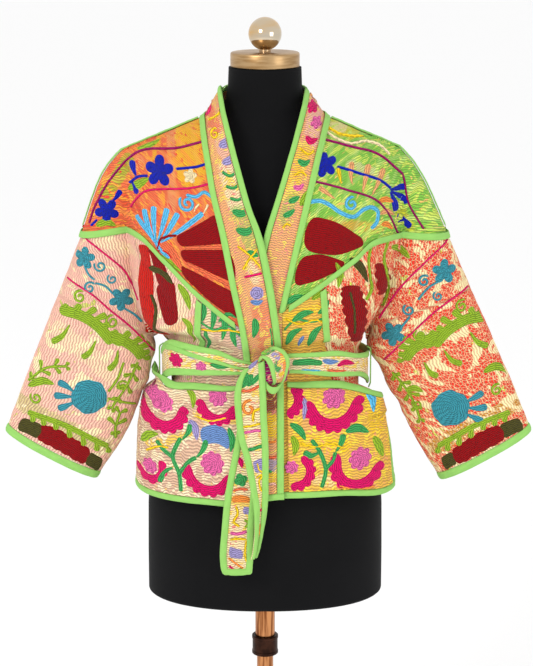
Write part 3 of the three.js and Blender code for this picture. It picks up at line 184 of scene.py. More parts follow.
def sashRadius(azimuth):
    sine, cosine = np.sin(np.radians(azimuth)), np.cos(np.radians(azimuth))
    ahead = np.abs(cosine) / np.where(cosine > 0, sashRing["front"], sashRing["back"])
    n = sashRing["fullness"]
    return ((np.abs(sine) / sashRing["side"]) ** n + ahead**n) ** (-1 / n)


def creaseDepth(x, z):
    total = 0
    for x1, z1, x2, z2, width, depth in creases + fineCreases:
        dx, dz = x2 - x1, z2 - z1
        t = clamp(((x - x1) * dx + (z - z1) * dz) / (dx * dx + dz * dz))
        away = np.hypot(x - x1 - t * dx, z - z1 - t * dz)
        total = total + depth * np.exp(-((away / width) ** 2)) * (1 - 0.7 * t)
    return total


def unevenness(x, z):  # the soft hills of hand quilting, never below the plain cloth
    hills = (np.sin(x / 6.1 + 2.2 * np.sin(z / 23)) * np.sin(z / 5.3 + 1.7 * np.sin(x / 31))
             + 1.6 * np.sin(x / 15.7 + z / 22 + 1.3 * np.sin(z / 37)) * np.sin(z / 17.9 - x / 41 + 0.8))
    return 0.28 * (hills + 1.6)


def surface(place, layer="under", lift=0.0):
    # points and outward directions at a place (back, x, z) of the front view
    back, x, z = (np.asarray(a) for a in np.broadcast_arrays(*place))
    x, z = x.astype(float), z.astype(float)
    ahead = np.where(back, 1.0, -1.0)
    limit = sleeveAt(x, z, "outer")
    across = np.where((z < heights["armpit"]) & (np.abs(x) > limit), np.sign(x) * limit, x)
    y = ahead * clothDepth(back, across, z)
    azimuth = np.degrees(np.arctan2(across, -y))
    low, high = read(sashTable, "azimuth", azimuth, "low"), read(sashTable, "azimuth", azimuth, "high")
    near = (smooth(low - pinch["belowFar"], low - pinch["belowNear"], z)
            * (1 - smooth(high + pinch["aboveNear"], high + pinch["aboveFar"], z)))
    radius = np.maximum(np.hypot(across, y), 1e-6)
    tight = np.maximum(0, 1 - (sashRadius(azimuth) - sashRing["stack"]) / radius)
    wave = (np.exp(-(((z - (low + high) / 2) / gathers["reach"]) ** 2))
            * np.sin(np.radians(azimuth) * gathers["waves"] * 2))
    keep = 1 - near * tight + wave * gathers["height"] * (1 - near) / radius
    keep = np.where((np.abs(across) > halfWidth(x, z) + 1) | (z > pinch["top"]), 1, keep)
    e = 0.4
    slopeX = (clothDepth(back, x + e, z) - clothDepth(back, x - e, z)) / (2 * e)
    slopeZ = (clothDepth(back, x, z + e) - clothDepth(back, x, z - e)) / (2 * e)
    normal = np.stack([-slopeX, ahead, -slopeZ], axis=-1)
    normal /= np.linalg.norm(normal, axis=-1, keepdims=True)
    over = 0.0
    if layer == "over":
        over = np.where(back, 0, cut["lap"] * smooth(cut["lapFrom"], cut["lapTo"], x))
    out = over - creaseDepth(x, z) + unevenness(x, z) + lift
    point = np.stack([across * keep, y * keep, z], axis=-1) + normal * out[..., None]
    return point, normal


# curves and patches on the front view
def curve(points):
    # a smooth line through points on the front view or in space
    p = np.array(points, float)
    last = len(p) - 1

    def at(t):
        t = np.asarray(t, float) * last
        i = np.clip(np.floor(t).astype(int), 0, last)
        f = (t - i)[..., None]
        a, b, c, d = (p[np.clip(i + k, 0, last)] for k in (-1, 0, 1, 2))
        bend, twist = 2 * a - 5 * b + 4 * c - d, 3 * b - a - 3 * c + d
        return 0.5 * (2 * b + (c - a) * f + bend * f**2 + twist * f**3)
    return at


def spline(points):
    at = curve(points)
    return lambda t: tuple(np.moveaxis(at(t), -1, 0))


def around(place):
    back, x, z = place
    angle = np.degrees(np.arcsin(np.clip(x / halfWidth(x, z), -1, 1)))
    return np.where(back, 180 - angle, angle)


def onBody(angle, z):
    sine = np.sin(np.radians(angle))
    return np.cos(np.radians(angle)) < 0, sine * halfWidth(sine, z), z


def coons(bottom, top, start, end, u, v):
    # blends each coordinate of four edge curves; an edge returns a tuple of arrays
    zero, one = np.zeros_like(u), np.ones_like(u)
    made = []
    edges = [bottom(u), top(u), start(v), end(v), bottom(zero), bottom(one), top(zero), top(one)]
    for b, t, s, e, b0, b1, t0, t1 in zip(*edges):
        made.append(lerp(b, t, v) + lerp(s, e, u) - lerp(lerp(b0, b1, u), lerp(t0, t1, u), v))
    return made


def frontHem(x):
    return heights["hem"] + heights["hemRise"] * (smooth(-60, 30, x) - smooth(110, 200, x))


def neckBack(t):
    return -neck["x"] * np.cos(np.pi * t), neck["z"] - neck["drop"] * np.sin(np.pi * t)


def bandEdge(side, which):
    upper, lower = bandLines[side][which]
    end = lower[-1][0]
    above, below = spline(upper), spline(lower[:-1] + [(end, float(frontHem(end)) + cut["binding"])])

    def at(k):
        k = np.asarray(k, float)
        turn = 0.5 + side * np.minimum(k, 1) / 2
        if which == "outer":
            bx, bz = neckBack(turn)
        else:
            bx, bz = -neck["sideX"] * np.cos(np.pi * turn), np.full_like(k, neck["sideZ"])
        ux, uz = above(np.clip(k - 1, 0, 1))
        lx, lz = below(np.clip(k - 2, 0, 1))
        x, z = (np.where(k < 1, b, np.where(k <= 2, u, l)) for b, u, l in ((bx, ux, lx), (bz, uz, lz)))
        return k < 1, x, z
    return at


def bandPatch(side):
    outer, inner = bandEdge(side, "outer"), bandEdge(side, "inner")

    def at(u, k):
        back, ax, az = outer(k)
        bx, bz = inner(k)[1:]
        x, z = lerp(ax, bx, u), lerp(az, bz, u)
        foot = frontHem(x) + cut["binding"] - lerp(outer(3.0)[2], inner(3.0)[2], u)
        return back, x, np.where(k <= 2, z, z + foot * (k - 2))
    return at


def sideEdge(side, on):
    armhole = spline(armholes[side][on][::-1])
    turn = 0 if on == "front" else 360
    slit = slitAzimuth[side] + (turn if side == right else 0)
    middle = side * 90 + (turn if side == right else 0)
    inward = (-side if on == "front" else side) * (barDegrees + slitGap)

    def at(v):
        v = np.asarray(v, float)
        x, z = armhole(np.clip((v - 2 / 3) * 3, 0, 1))
        high = around((on == "back", x, z))
        f = v * 1.5
        low = np.where(v <= 1 / 3 + 0.001, slit + inward, lerp(slit, middle, smooth(0.5, 1, f)))
        return (np.where(v > 2 / 3, high, low),
                np.where(v > 2 / 3, z, lerp(heights["hem"] + cut["binding"], heights["armpit"], f)))
    return at


def frontYoke(side):
    seam, band = spline(yokeSeam[side]), bandEdge(side, "outer")
    tipX, tipZ = shoulderTip[side]
    corner = yokeSeam[side][4][1] + cornerHeight

    def top(u):
        u = np.asarray(u, float)
        x = side * lerp(neck["x"], tipX, np.minimum(u / 0.75, 1))
        z = lerp(tipZ, corner, clamp((u - 0.75) * 4))
        over = side * read(sleeveTable[side], "z", z, "outer")
        return np.where(u <= 0.75, x, over), np.where(u <= 0.75, shoulderHeight(x), z)

    def end(v):
        x0, z0 = seam(1.0)
        return lerp(x0, top(1.0)[0], v), lerp(z0, corner, v)

    def at(u, v):
        x, z = coons(seam, top, lambda w: band(2 - w)[1:], end, u, v)
        return np.zeros_like(x, bool), x, z
    return at, top, seam


def frontPanels(side):
    seam, down, band = spline(yokeSeam[side]), spline(frontSeam[side][::-1]), bandEdge(side, "outer")
    foot = frontSeam[side][3][0]
    end = sideEdge(side, "front")

    def seamSide(v):
        v = np.asarray(v, float)
        x, z = down(v)
        low = lerp(frontHem(foot) + cut["binding"], down(1 / 12)[1], clamp(v * 12))
        return np.zeros_like(x, bool), x, np.where(v < 1 / 12, low, z)

    def turned(edge):
        return lambda t: (around(edge(t)), edge(t)[2])

    def hem(start, stop):
        def at(u):
            angle = lerp(start, stop, u)
            return angle, frontHem(onBody(angle, heights["hem"])[1]) + cut["binding"]
        return at

    def yokeEdge(start, share):
        return turned(lambda u: (False, *seam(start + u * share)))
    angles = [float(around(band(3.0))), float(around(seamSide(0.0))), float(end(0.0)[0])]

    def centre(u, v):
        return onBody(*coons(hem(angles[0], angles[1]), yokeEdge(0, 0.25), turned(lambda w: band(3 - w)),
                             turned(seamSide), u, v))

    def flank(u, v):
        return onBody(*coons(hem(angles[1], angles[2]), yokeEdge(0.25, 0.5), turned(seamSide), end, u, v))
    return centre, flank, seamSide, end, angles


def sleevePatch(side):
    holes = {on: spline(armholes[side][on]) for on in ("front", "back")}
    (ix, iz), (ox, oz) = cuffEnds[side]
    rise = cut["binding"] / math.cos(math.atan2(oz - iz, abs(ox - ix)))
    gap = float(read(sleeveTable[side], "z", heights["armpit"], "inner")) - abs(armholes[side]["front"][2][0])
    top = yokeSeam[side][4][1]
    seam = spline(yokeSeam[side])

    def lineAt(column, z):
        return side * read(sleeveTable[side], "z", z, column)

    def level(s, v, on):
        hx, hz = holes[on](np.clip(v, 0, 1))
        iLow = lerp(heights["armpit"], iz + rise, v - 1)
        ax = np.where(v > 1, lineAt("inner", iLow), hx + side * gap * clamp(v) ** 3)
        az = np.where(v > 1, iLow, hz)
        bz = np.where(v <= 1, lerp(top, outerArmpit, v), lerp(outerArmpit, oz + rise, v - 1))
        return lerp(ax, lineAt("outer", bz), s), lerp(az, bz, s)

    def at(u, v):
        u, v = np.broadcast_arrays(np.asarray(u, float), np.asarray(v, float))
        back = u > 1
        s = np.where(back, 2 - u, u)
        fx, fz = level(s, v, "front")
        bx, bz = level(s, v, "back")
        ex, ez = seam(0.75 + s / 4)
        flatX, flatZ = level(s, np.zeros_like(v), "back")
        pull = np.where(v < 1, 1 - v, 0)
        x, z = np.where(back, bx + (ex - flatX) * pull, fx), np.where(back, bz + (ez - flatZ) * pull, fz)
        return back, x, z

    def cuff(u, v):
        s = np.where(u > 1, 2 - u, u)
        low, high = iz + (1 - v) * rise, oz + (1 - v) * rise
        return u > 1, lerp(lineAt("inner", low), lineAt("outer", high), s), lerp(low, high, s)
    return at, cuff


def backLine(half):
    # joins the two sides' halves of a line across the back, for u from 0 at the right arm to 5 at the left
    def at(u):
        u = np.asarray(u, float)
        one, two = half(right, np.minimum(u, 2.5), u), half(left, np.minimum(5 - u, 2.5), u)
        return np.where(u < 2.5, one[0], two[0]), np.where(u < 2.5, one[1], two[1])
    return at


def seamHalf(side, a, u):
    (cx, cz), oz = backCorner[side], yokeSeam[side][4][1]
    ox = side * float(read(sleeveTable[side], "z", oz, "outer"))
    x = np.where(a <= 1, lerp(ox, cx, clamp(a)), lerp(cx, side * neck["x"], clamp(a - 1)))
    z = np.where(a <= 1, lerp(oz, cz, clamp(a)), lerp(cz, heights["backSeam"], clamp(a - 1)))
    return np.where(a > 2, -neck["x"] * np.cos(np.pi * (u - 2)), x), np.where(a > 2, heights["backSeam"], z)


def topHalf(side, a, u):
    tipX, tipZ = shoulderTip[side]
    z0 = lerp(yokeSeam[side][4][1] + cornerHeight, tipZ, clamp(a))
    x1 = side * lerp(tipX, neck["x"], clamp(a - 1))
    nx, nz = neckBack(np.clip(u - 2, 0, 1))
    x = np.where(a <= 1, side * read(sleeveTable[side], "z", z0, "outer"), np.where(a <= 2, x1, nx))
    return x, np.where(a <= 1, z0, np.where(a <= 2, shoulderHeight(x1), nz))


backSeamAt, backTopAt = backLine(seamHalf), backLine(topHalf)


def backYoke(u, v):
    (ax, az), (bx, bz) = backSeamAt(u), backTopAt(u)
    return np.ones_like(ax, bool), lerp(ax, bx, v), lerp(az, bz, v)


backEdges = {side: sideEdge(side, "back") for side in (right, left)}


def backHemAngle(u):
    return lerp(float(backEdges[right](0.0)[0]), float(backEdges[left](0.0)[0]), (u - 1) / 3)


def backPanel(u, v):
    def hem(s):
        return backHemAngle(1 + 3 * s), np.full_like(s, heights["hem"] + cut["binding"])

    def top(s):
        x, z = backSeamAt(1 + 3 * s)
        return around((True, x, z)), z
    return onBody(*coons(hem, top, backEdges[right], backEdges[left], (u - 1) / 3, v))


# sample lists that neighbours share
def steps(count):
    return [i / count for i in range(count + 1)]


def refine(values, parts):
    v = np.array(values, float)
    return np.append((v[:-1, None] + np.diff(v)[:, None] * np.arange(parts) / parts).ravel(), v[-1])


upperSteps = [math.sin(t * math.pi / 2) for t in steps(8)]
rows = steps(12)
centreSteps, flankSteps, armholeRows, sleeveRows = steps(3), steps(6), steps(4), steps(9)
acrossSleeve = [0, 0.06, 0.2, 0.42, 0.66, 0.86, 0.96, 1]
armIn = [1 - v for v in acrossSleeve[::-1]]
seamSteps = ([t / 4 for t in centreSteps] + [0.25 + t / 2 for t in flankSteps[1:]]
             + [0.75 + t / 4 for t in acrossSleeve[1:]])
backMiddle = [1 + t for t in steps(4)] + [2 + t for t in steps(8)[1:]] + [3 + t for t in steps(4)[1:]]
backSteps = armIn[:-1] + backMiddle + [4 + t for t in acrossSleeve[1:]]
bandRows = ([t for t in steps(4)[:-1]] + [1 + (1 - v) for v in upperSteps[::-1]][:-1] + [2 + v for v in rows])
slitRows = [v for v in rows if v <= 1 / 3 + 0.001]


# colours and cloth materials
def tint(red, green, blue):  # 0 to 255 as a screen shows it
    def one(c):
        c /= 255
        return c / 12.92 if c <= 0.04045 else ((c + 0.055) / 1.055) ** 2.4
    return (one(red), one(green), one(blue), 1.0)


thread = {
    "lime": tint(143, 197, 101), "coral": tint(240, 112, 72), "leaf": tint(128, 196, 74),
    "pink": tint(244, 186, 168), "red": tint(232, 58, 40), "cream": tint(250, 228, 178),
    "sand": tint(222, 182, 152), "mustard": tint(236, 186, 78), "magenta": tint(222, 14, 98),
    "crimson": tint(150, 0, 8), "maroon": tint(122, 4, 10), "royal": tint(8, 30, 176),
    "sky": tint(92, 190, 236), "teal": tint(60, 152, 168), "olive": tint(78, 74, 26),
    "moss": tint(150, 186, 44), "green": tint(62, 166, 88), "yellow": tint(248, 206, 28),
    "hotPink": tint(228, 8, 104), "carnation": tint(238, 104, 168), "lavender": tint(164, 152, 204),
    "blue": tint(112, 148, 206), "orange": tint(250, 146, 62), "apricot": tint(240, 170, 112),
    "plum": tint(150, 8, 92), "scarlet": tint(206, 26, 14),
}


def addNode(tree, kind, inputs=(), **settings):
    made = tree.nodes.new(kind)
    for key, value in settings.items():
        setattr(made, key, value)
    for socket, value in dict(inputs).items():
        if isinstance(value, bpy.types.NodeSocket):
            tree.links.new(value, made.inputs[socket])
        else:
            made.inputs[socket].default_value = value
    return made


def maths(tree, operation, a, b=0.0, c=0.0):
    return addNode(tree, "ShaderNodeMath", {0: a, 1: b, 2: c}, operation=operation).outputs[0]


def mixed(tree, factor, a, b, blend="MIX"):
    made = addNode(tree, "ShaderNodeMix", {0: factor, 6: a, 7: b}, data_type="RGBA", blend_type=blend)
    return made.outputs[2]


def noise(tree, vector, scale, detail=2.0, **extra):
    return addNode(tree, "ShaderNodeTexNoise", {"Vector": vector, "Scale": scale, "Detail": detail, **extra})


def ramp(tree, value, low, high):
    made = addNode(tree, "ShaderNodeMapRange", {0: value, 1: low, 2: high}, interpolation_type="SMOOTHSTEP")
    return made.outputs[0]


def spread(tree, value, low, high):  # 0 to 1 brought to low to high
    return addNode(tree, "ShaderNodeMapRange", {0: value, 3: low, 4: high}).outputs[0]


def weaveMap(tree):
    return addNode(tree, "ShaderNodeUVMap", uv_map="weave").outputs[0]


def setBump(tree, shader, height, strength, distance):
    bump = addNode(tree, "ShaderNodeBump", {"Height": height, "Strength": strength, "Distance": distance})
    tree.links.new(bump.outputs[0], shader.inputs["Normal"])


def newMaterial(name, roughness=0.9, sheen=0.04):
    material = bpy.data.materials.new(name)
    material.use_nodes = True
    tree = material.node_tree
    shader = tree.nodes["Principled BSDF"]
    shader.inputs["Roughness"].default_value = roughness
    shader.inputs["Sheen Weight"].default_value = sheen
    shader.inputs["Sheen Roughness"].default_value = 0.45
    shader.inputs["Specular IOR Level"].default_value = 0.12
    return material, tree, shader


def runningStitch(tree, vector, pitch, length, waver):
    # rows of running stitch: how deep the cloth is pulled in, and where thread shows
    drift = noise(tree, vector, 26.0, 1.5).outputs[0]
    place = addNode(tree, "ShaderNodeSeparateXYZ", {0: vector})
    along = place.outputs[0]
    ripple = maths(tree, "SINE", maths(tree, "MULTIPLY", along, 2 * math.pi / (2.1 * length)))
    across = maths(tree, "MULTIPLY_ADD", drift, waver, place.outputs[1])
    across = maths(tree, "MULTIPLY_ADD", ripple, 0.16 * pitch, across)
    line = maths(tree, "DIVIDE", across, pitch)
    row = maths(tree, "FLOOR", line)
    aside = maths(tree, "ABSOLUTE", maths(tree, "MULTIPLY_ADD", maths(tree, "FRACT", line), 2.0, -1.0))
    shift = maths(tree, "FRACT", maths(tree, "MULTIPLY", row, 0.5618))
    cell = maths(tree, "FRACT", maths(tree, "ADD", maths(tree, "DIVIDE", along, length), shift))
    stitch = ramp(tree, maths(tree, "ABSOLUTE", maths(tree, "MULTIPLY_ADD", cell, 2.0, -1.0)), 0.86, 0.6)
    groove = ramp(tree, aside, 0.42, 0.98)
    pull = maths(tree, "MULTIPLY", groove, maths(tree, "MULTIPLY_ADD", stitch, 0.75, 0.25))
    return pull, maths(tree, "MULTIPLY", ramp(tree, aside, 0.72, 0.94), stitch)


def quiltMaterial(name, style):
    # printed cotton under running stitch, over the piece's own colour attribute
    material, tree, shader = newMaterial(name)
    uv = weaveMap(tree)
    colour = addNode(tree, "ShaderNodeAttribute", attribute_name="print").outputs[0]
    # two further colours of the print in leafy blots, then a crackle of fine veins
    for key, scale, shift in (("second", 1.0, (0, 0, 0)), ("third", 1.6, (3.1, 1.7, 0))):
        if key in style:
            moved = addNode(tree, "ShaderNodeMapping", {0: uv, 1: shift}).outputs[0]
            blotch = noise(tree, moved, style.get("printScale", 60.0) * scale, 3.0, Distortion=1.2).outputs[0]
            cover = style.get(key + "Cover", 0.58)
            colour = mixed(tree, ramp(tree, blotch, cover, cover + 0.03), colour, style[key])
    if "veins" in style:
        veins = addNode(tree, "ShaderNodeTexVoronoi", {"Vector": uv, "Scale": style["veinScale"]},
                        feature="DISTANCE_TO_EDGE").outputs["Distance"]
        colour = mixed(tree, maths(tree, "MULTIPLY", ramp(tree, veins, 0.09, 0.03), style["veins"]), colour,
                       style["second"])
    if "plaid" in style:
        place = addNode(tree, "ShaderNodeSeparateXYZ", {0: uv})
        for axis, period in ((0, 0.041), (1, 0.057)):
            stripe = maths(tree, "FRACT", maths(tree, "DIVIDE", place.outputs[axis], period))
            aside = maths(tree, "ABSOLUTE", maths(tree, "SUBTRACT", stripe, 0.5))
            fine = maths(tree, "MULTIPLY", ramp(tree, aside, 0.13, 0.03), 0.26)
            colour = mixed(tree, fine, colour, style["plaid"])
    laid = uv
    if style.get("lengthwise"):  # the rows run down the piece
        place = addNode(tree, "ShaderNodeSeparateXYZ", {0: uv})
        laid = addNode(tree, "ShaderNodeCombineXYZ", {0: place.outputs[1], 1: place.outputs[0]}).outputs[0]
    pull, shown = runningStitch(tree, laid, style.get("pitch", 0.0046), style.get("length", 0.0062),
                                style.get("waver", 0.012))
    patchy = noise(tree, uv, 55.0, 3.0).outputs[0]
    colour = mixed(tree, 0.55, colour, spread(tree, patchy, 0.72, 1.25), "MULTIPLY")
    shade = maths(tree, "MULTIPLY", pull, style.get("shade", 0.85))
    colour = mixed(tree, shade, colour, style["shadow"], "MULTIPLY")
    colour = mixed(tree, maths(tree, "MULTIPLY", shown, 0.5), colour, style["thread"])
    tree.links.new(colour, shader.inputs["Base Color"])
    weave = noise(tree, uv, 900.0, 2.0).outputs[0]
    height = maths(tree, "MULTIPLY_ADD", weave, 0.12, maths(tree, "SUBTRACT", 1.0, pull))
    setBump(tree, shader, maths(tree, "MULTIPLY_ADD", shown, 0.35, height), 1.0, 0.0022)
    return material


def threadMaterial(name, colour):
    # solid chain stitch: rows that follow the shape, with painted shade in its needle holes and between its
    # rows
    material, tree, shader = newMaterial(name, 0.8, 0.06)
    uv = weaveMap(tree)
    pull, shown = runningStitch(tree, uv, 0.0031, 0.0042, 0.003)
    patchy = noise(tree, uv, 170.0, 2.0).outputs[0]
    mottledShaded = mixed(tree, 0.6, colour, spread(tree, patchy, 0.6, 1.35), "MULTIPLY")
    holes = noise(tree, uv, 330.0, 0.0).outputs[0]
    dark = maths(tree, "MULTIPLY", ramp(tree, holes, 0.66, 0.72), 0.55)
    # painted shade: the colour is darkened in the needle holes and in the grooves between the rows
    mottledShaded = mixed(tree, maths(tree, "MAXIMUM", dark, maths(tree, "MULTIPLY", pull, 0.7)), mottledShaded,
                    tuple(c * 0.3 for c in colour[:3]) + (1.0,))
    tree.links.new(mottledShaded, shader.inputs["Base Color"])
    height = maths(tree, "SUBTRACT", maths(tree, "SUBTRACT", 1.0, pull), dark)
    setBump(tree, shader, height, 1.0, 0.0016)
    return material


def bindingMaterial(name, colour):
    # plain bias-cut cotton with slanting pull lines
    material, tree, shader = newMaterial(name, 0.85, 0.06)
    uv = weaveMap(tree)
    slant = addNode(tree, "ShaderNodeMapping", {0: uv, 2: (0, 0, 0.6), 3: (60.0, 240.0, 1.0)}).outputs[0]
    creased = noise(tree, slant, 1.0, 2.0).outputs[0]
    # painted shade and highlight: the colour is darker in the hollows of the pull lines and lighter on their
    # tops
    soft = mixed(tree, 1.0, colour, spread(tree, creased, 0.84, 1.12), "MULTIPLY")
    tree.links.new(soft, shader.inputs["Base Color"])
    weave = noise(tree, uv, 1300.0, 1.0).outputs[0]
    setBump(tree, shader, maths(tree, "MULTIPLY_ADD", weave, 0.12, creased), 0.7, 0.0012)
    return material


quiltStyles = {
    "yokeRight": {"plaid": tint(255, 196, 90), "shadow": tint(176, 60, 40), "thread": tint(255, 176, 120),
                  "second": tint(252, 168, 60), "secondCover": 0.56, "third": tint(238, 70, 60),
                  "thirdCover": 0.6},
    "yokeLeft": {"plaid": tint(226, 240, 150), "shadow": tint(70, 120, 50), "thread": tint(206, 236, 130),
                 "second": tint(206, 226, 96), "secondCover": 0.53, "third": tint(246, 196, 110),
                 "thirdCover": 0.62},
    "armRight": {"second": tint(250, 234, 184), "secondCover": 0.56, "printScale": 30.0,
                 "third": tint(196, 204, 90), "thirdCover": 0.66, "veinScale": 120.0, "veins": 0.3,
                 "shadow": tint(176, 92, 88), "thread": tint(255, 230, 208), "pitch": 0.0048,
                 "waver": 0.006, "lengthwise": True},
    "armLeft": {"second": tint(253, 232, 176), "secondCover": 0.535, "printScale": 34.0,
                "third": tint(200, 214, 70), "thirdCover": 0.66, "veinScale": 190.0, "veins": 0.75,
                "shadow": tint(140, 40, 30), "thread": tint(255, 200, 160), "pitch": 0.0048, "waver": 0.006,
                "shade": 0.5, "lengthwise": True},
    "panelRight": {"shadow": tint(120, 84, 70), "thread": tint(244, 220, 190),
                   "second": tint(240, 220, 176), "third": tint(238, 200, 90), "thirdCover": 0.66},
    "panelLeft": {"shadow": tint(150, 90, 30), "thread": tint(252, 226, 130), "second": tint(250, 214, 90),
                  "third": tint(226, 150, 80), "thirdCover": 0.62},
    "pocketRight": {"shadow": tint(140, 76, 70), "thread": tint(250, 222, 196), "waver": 0.022,
                    "second": tint(246, 226, 186), "secondCover": 0.53, "third": tint(250, 206, 70),
                    "thirdCover": 0.66},
    "pocketLeft": {"shadow": tint(160, 84, 30), "thread": tint(253, 226, 140), "waver": 0.022,
                   "second": tint(252, 218, 70), "secondCover": 0.53, "third": tint(246, 170, 110),
                   "thirdCover": 0.6},
    "band": {"shadow": tint(150, 92, 60), "thread": tint(255, 232, 200), "pitch": 0.0038, "length": 0.0048,
             "waver": 0.006, "printScale": 80.0, "second": tint(250, 214, 96), "secondCover": 0.56,
             "third": tint(242, 140, 130), "thirdCover": 0.62},
    "back": {"plaid": tint(255, 214, 150), "shadow": tint(160, 80, 50), "thread": tint(255, 206, 160),
             "second": tint(250, 196, 110), "third": tint(240, 110, 80), "thirdCover": 0.64},
}
quilts = {key: quiltMaterial(key + "Quilt", style) for key, style in quiltStyles.items()}
limeBinding = bindingMaterial("limeBinding", thread["lime"])
threads = {}


def threadOf(key):
    if key not in threads:
        threads[key] = threadMaterial(key + "Thread", thread[key])
    return threads[key]


print("materials made")


def lengthsAlong(points, axis):
    d = np.linalg.norm(np.diff(points, axis=axis), axis=-1)
    total = np.cumsum(d, axis=axis)
    pad = [(0, 0), (0, 0)]
    pad[axis] = (1, 0)
    return np.pad(total, pad)


def sheetMesh(bm, points, uv, colours=None, outward=None, wrapped=False):
    # create_grid moved onto the given points, rows by columns
    count, across = points.shape[:2]
    uvLayer = bm.loops.layers.uv.get("weave") or bm.loops.layers.uv.new("weave")
    paint = None
    if colours is not None:
        paint = bm.verts.layers.float_color.get("print") or bm.verts.layers.float_color.new("print")
    made = bmesh.ops.create_grid(bm, x_segments=across - 1, y_segments=count - 1, size=1.0)["verts"]
    place = {vert: (round((vert.co.y + 1) / 2 * (count - 1)), round((vert.co.x + 1) / 2 * (across - 1)))
             for vert in made}
    spots, flat = (points * 0.001).tolist(), uv.tolist()
    shades = None if colours is None else colours.tolist()
    for vert, (i, j) in place.items():
        vert.co = spots[i][j]
        if shades:
            vert[paint] = shades[i][j]
    faces = list({face for vert in made for face in vert.link_faces})
    for face in faces:
        for loop in face.loops:
            i, j = place[loop.vert]
            loop[uvLayer].uv = flat[i][j]
    if outward is not None:
        facing = 0.0
        for face in faces[::37]:
            face.normal_update()
            facing += face.normal.dot(Vector(outward[place[face.verts[0]]]))
        if facing < 0:
            bmesh.ops.reverse_faces(bm, faces=faces)
    if wrapped:  # the first and last columns are one line
        bmesh.ops.remove_doubles(bm, verts=made, dist=1e-6)
    return faces


def closed(bm):
    bmesh.ops.remove_doubles(bm, verts=bm.verts, dist=1e-6)
    bmesh.ops.recalc_face_normals(bm, faces=bm.faces)
    return bm


def finish(name, bm, material, body="dressed_form", node=None, shell=None):
    mesh = bpy.data.meshes.new(name)
    bm.to_mesh(mesh)
    bm.free()
    piece = bpy.data.objects.new(name, mesh)
    bpy.context.scene.collection.objects.link(piece)
    mesh.materials.append(material)
    mesh.shade_smooth()
    if shell:
        solid = piece.modifiers.new("thickness", "SOLIDIFY")
        solid.thickness, solid.offset = shell * 0.001, -1.0
    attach(piece, body)
    if node:
        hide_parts(node)
    return piece


def insetRim(points, gap):
    def unit(v):
        return v / np.maximum(np.linalg.norm(v, axis=-1, keepdims=True), 1e-9) * gap
    for a, b in ((0, 1), (-1, -2)):
        points[:, a] += unit(points[:, b] - points[:, a])
    for a, b in ((0, 1), (-1, -2)):
        points[a] += unit(points[b] - points[a])


def sheetPiece(name, points, normals, material, shell, colours=None, swap=False):
    # a thin piece whose weave runs along its columns and rows
    uv = np.stack([lengthsAlong(points, axis) for axis in ((0, 1) if swap else (1, 0))], axis=-1) * 0.001
    bm = bmesh.new()
    sheetMesh(bm, points, uv, colours, normals)
    return finish(name, bm, material, node=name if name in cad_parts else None, shell=shell)


def cloth(name, us, vs, at, quilt, colour, layer="under", lift=None, gap=None):
    # a sewn panel on the garment's form
    u, v = np.meshgrid(us, vs)
    place = at(u, v)
    points, normals = surface(place, layer)
    if lift is not None:
        points = points + normals * lift(u, v)[..., None]
    insetRim(points, gap or cut["seamGap"])
    return sheetPiece(name, points, normals, quilts[quilt], cut["cloth"], colour(*place))


def barProfile(count=14):
    # a flattened round section: across from 0 to 1, height from -1 to 1, first point repeated
    turn = np.linspace(0, 2 * np.pi, count + 1)
    c, s = np.cos(turn), np.sin(turn)
    return 0.5 + 0.5 * np.sign(c) * np.abs(c) ** 0.55, np.sign(s) * np.abs(s) ** 0.8


def puckers(length, across):
    return 0.22 * np.sin(length / 1.9 + 2.4 * np.sin(length / 17) + 2.0 * across) * np.sin(length / 5.3 + 1.1)


def bar(name, at, ts, layer="under", thick=cut["edge"], rise=cut["edgeRise"]):
    # a binding folded round a cloth edge. at(across, along) gives its place or its points and normals
    a, h = barProfile()
    u, t = np.meshgrid(a, ts)
    made = at(u, t)
    points, normals = made if len(made) == 2 else surface(made, layer)
    high = np.broadcast_to(h, u.shape)
    deep, top = (size(u, t) if callable(size) else size for size in (thick, rise))
    length = lengthsAlong(points, 0)
    out = top - deep / 2 + high * deep / 2
    out = out + np.where(high > 0, cut["crown"] * (1 - (2 * u - 1) ** 2) * high, 0)
    out = out + np.where(high > 0, puckers(length, u), 0)
    points = points + normals * out[..., None]
    ends = [points[0].mean(axis=0), points[-1].mean(axis=0)]
    points = np.concatenate([np.broadcast_to(ends[0], points[:1].shape), points,
                             np.broadcast_to(ends[1], points[:1].shape)])
    hops = np.diff(np.stack([a * cut["binding"], h * 2]), axis=1)
    girth = np.concatenate([[0], np.cumsum(np.linalg.norm(hops, axis=0))])
    along = np.concatenate([length[:1], length, length[-1:]])
    uv = np.stack([along, np.broadcast_to(girth, along.shape)], axis=-1) * 0.001
    bm = bmesh.new()
    sheetMesh(bm, points, uv, wrapped=True)
    return finish(name, closed(bm), limeBinding, node=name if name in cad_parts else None)


def tape(name, ts, seam, before, after, layer="under", clear=cut["tapeClear"]):
    # a flat binding over a seam, parallel to the panels on both sides of it
    across = np.linspace(-1, 1, 9)
    middle, normals = seam(ts) if layer is None else surface(seam(ts), layer)
    sides = []
    for edge in (before, after):
        away = surface(edge(ts), layer or "under")[0] - middle
        sides.append(away / np.linalg.norm(away, axis=-1, keepdims=True) * cut["binding"] / 2)
    points = np.stack([middle + (sides[0] if a < 0 else sides[1]) * abs(a) for a in across], axis=1)
    normal = np.repeat(normals[:, None], len(across), axis=1)
    length = lengthsAlong(points, 0)
    dome = 0.9 * (1 - across**2) ** 0.6 + puckers(length, across) * (1 - across**4)
    points = points + normal * (clear + cut["tape"] - 0.4 + dome)[..., None]
    uv = np.stack([length, np.broadcast_to(across * 5.5 + 5.5, length.shape)], axis=-1) * 0.001
    bm = bmesh.new()
    sheetMesh(bm, points, uv, outward=normal)
    return finish(name, bm, limeBinding, node=name, shell=1.2)


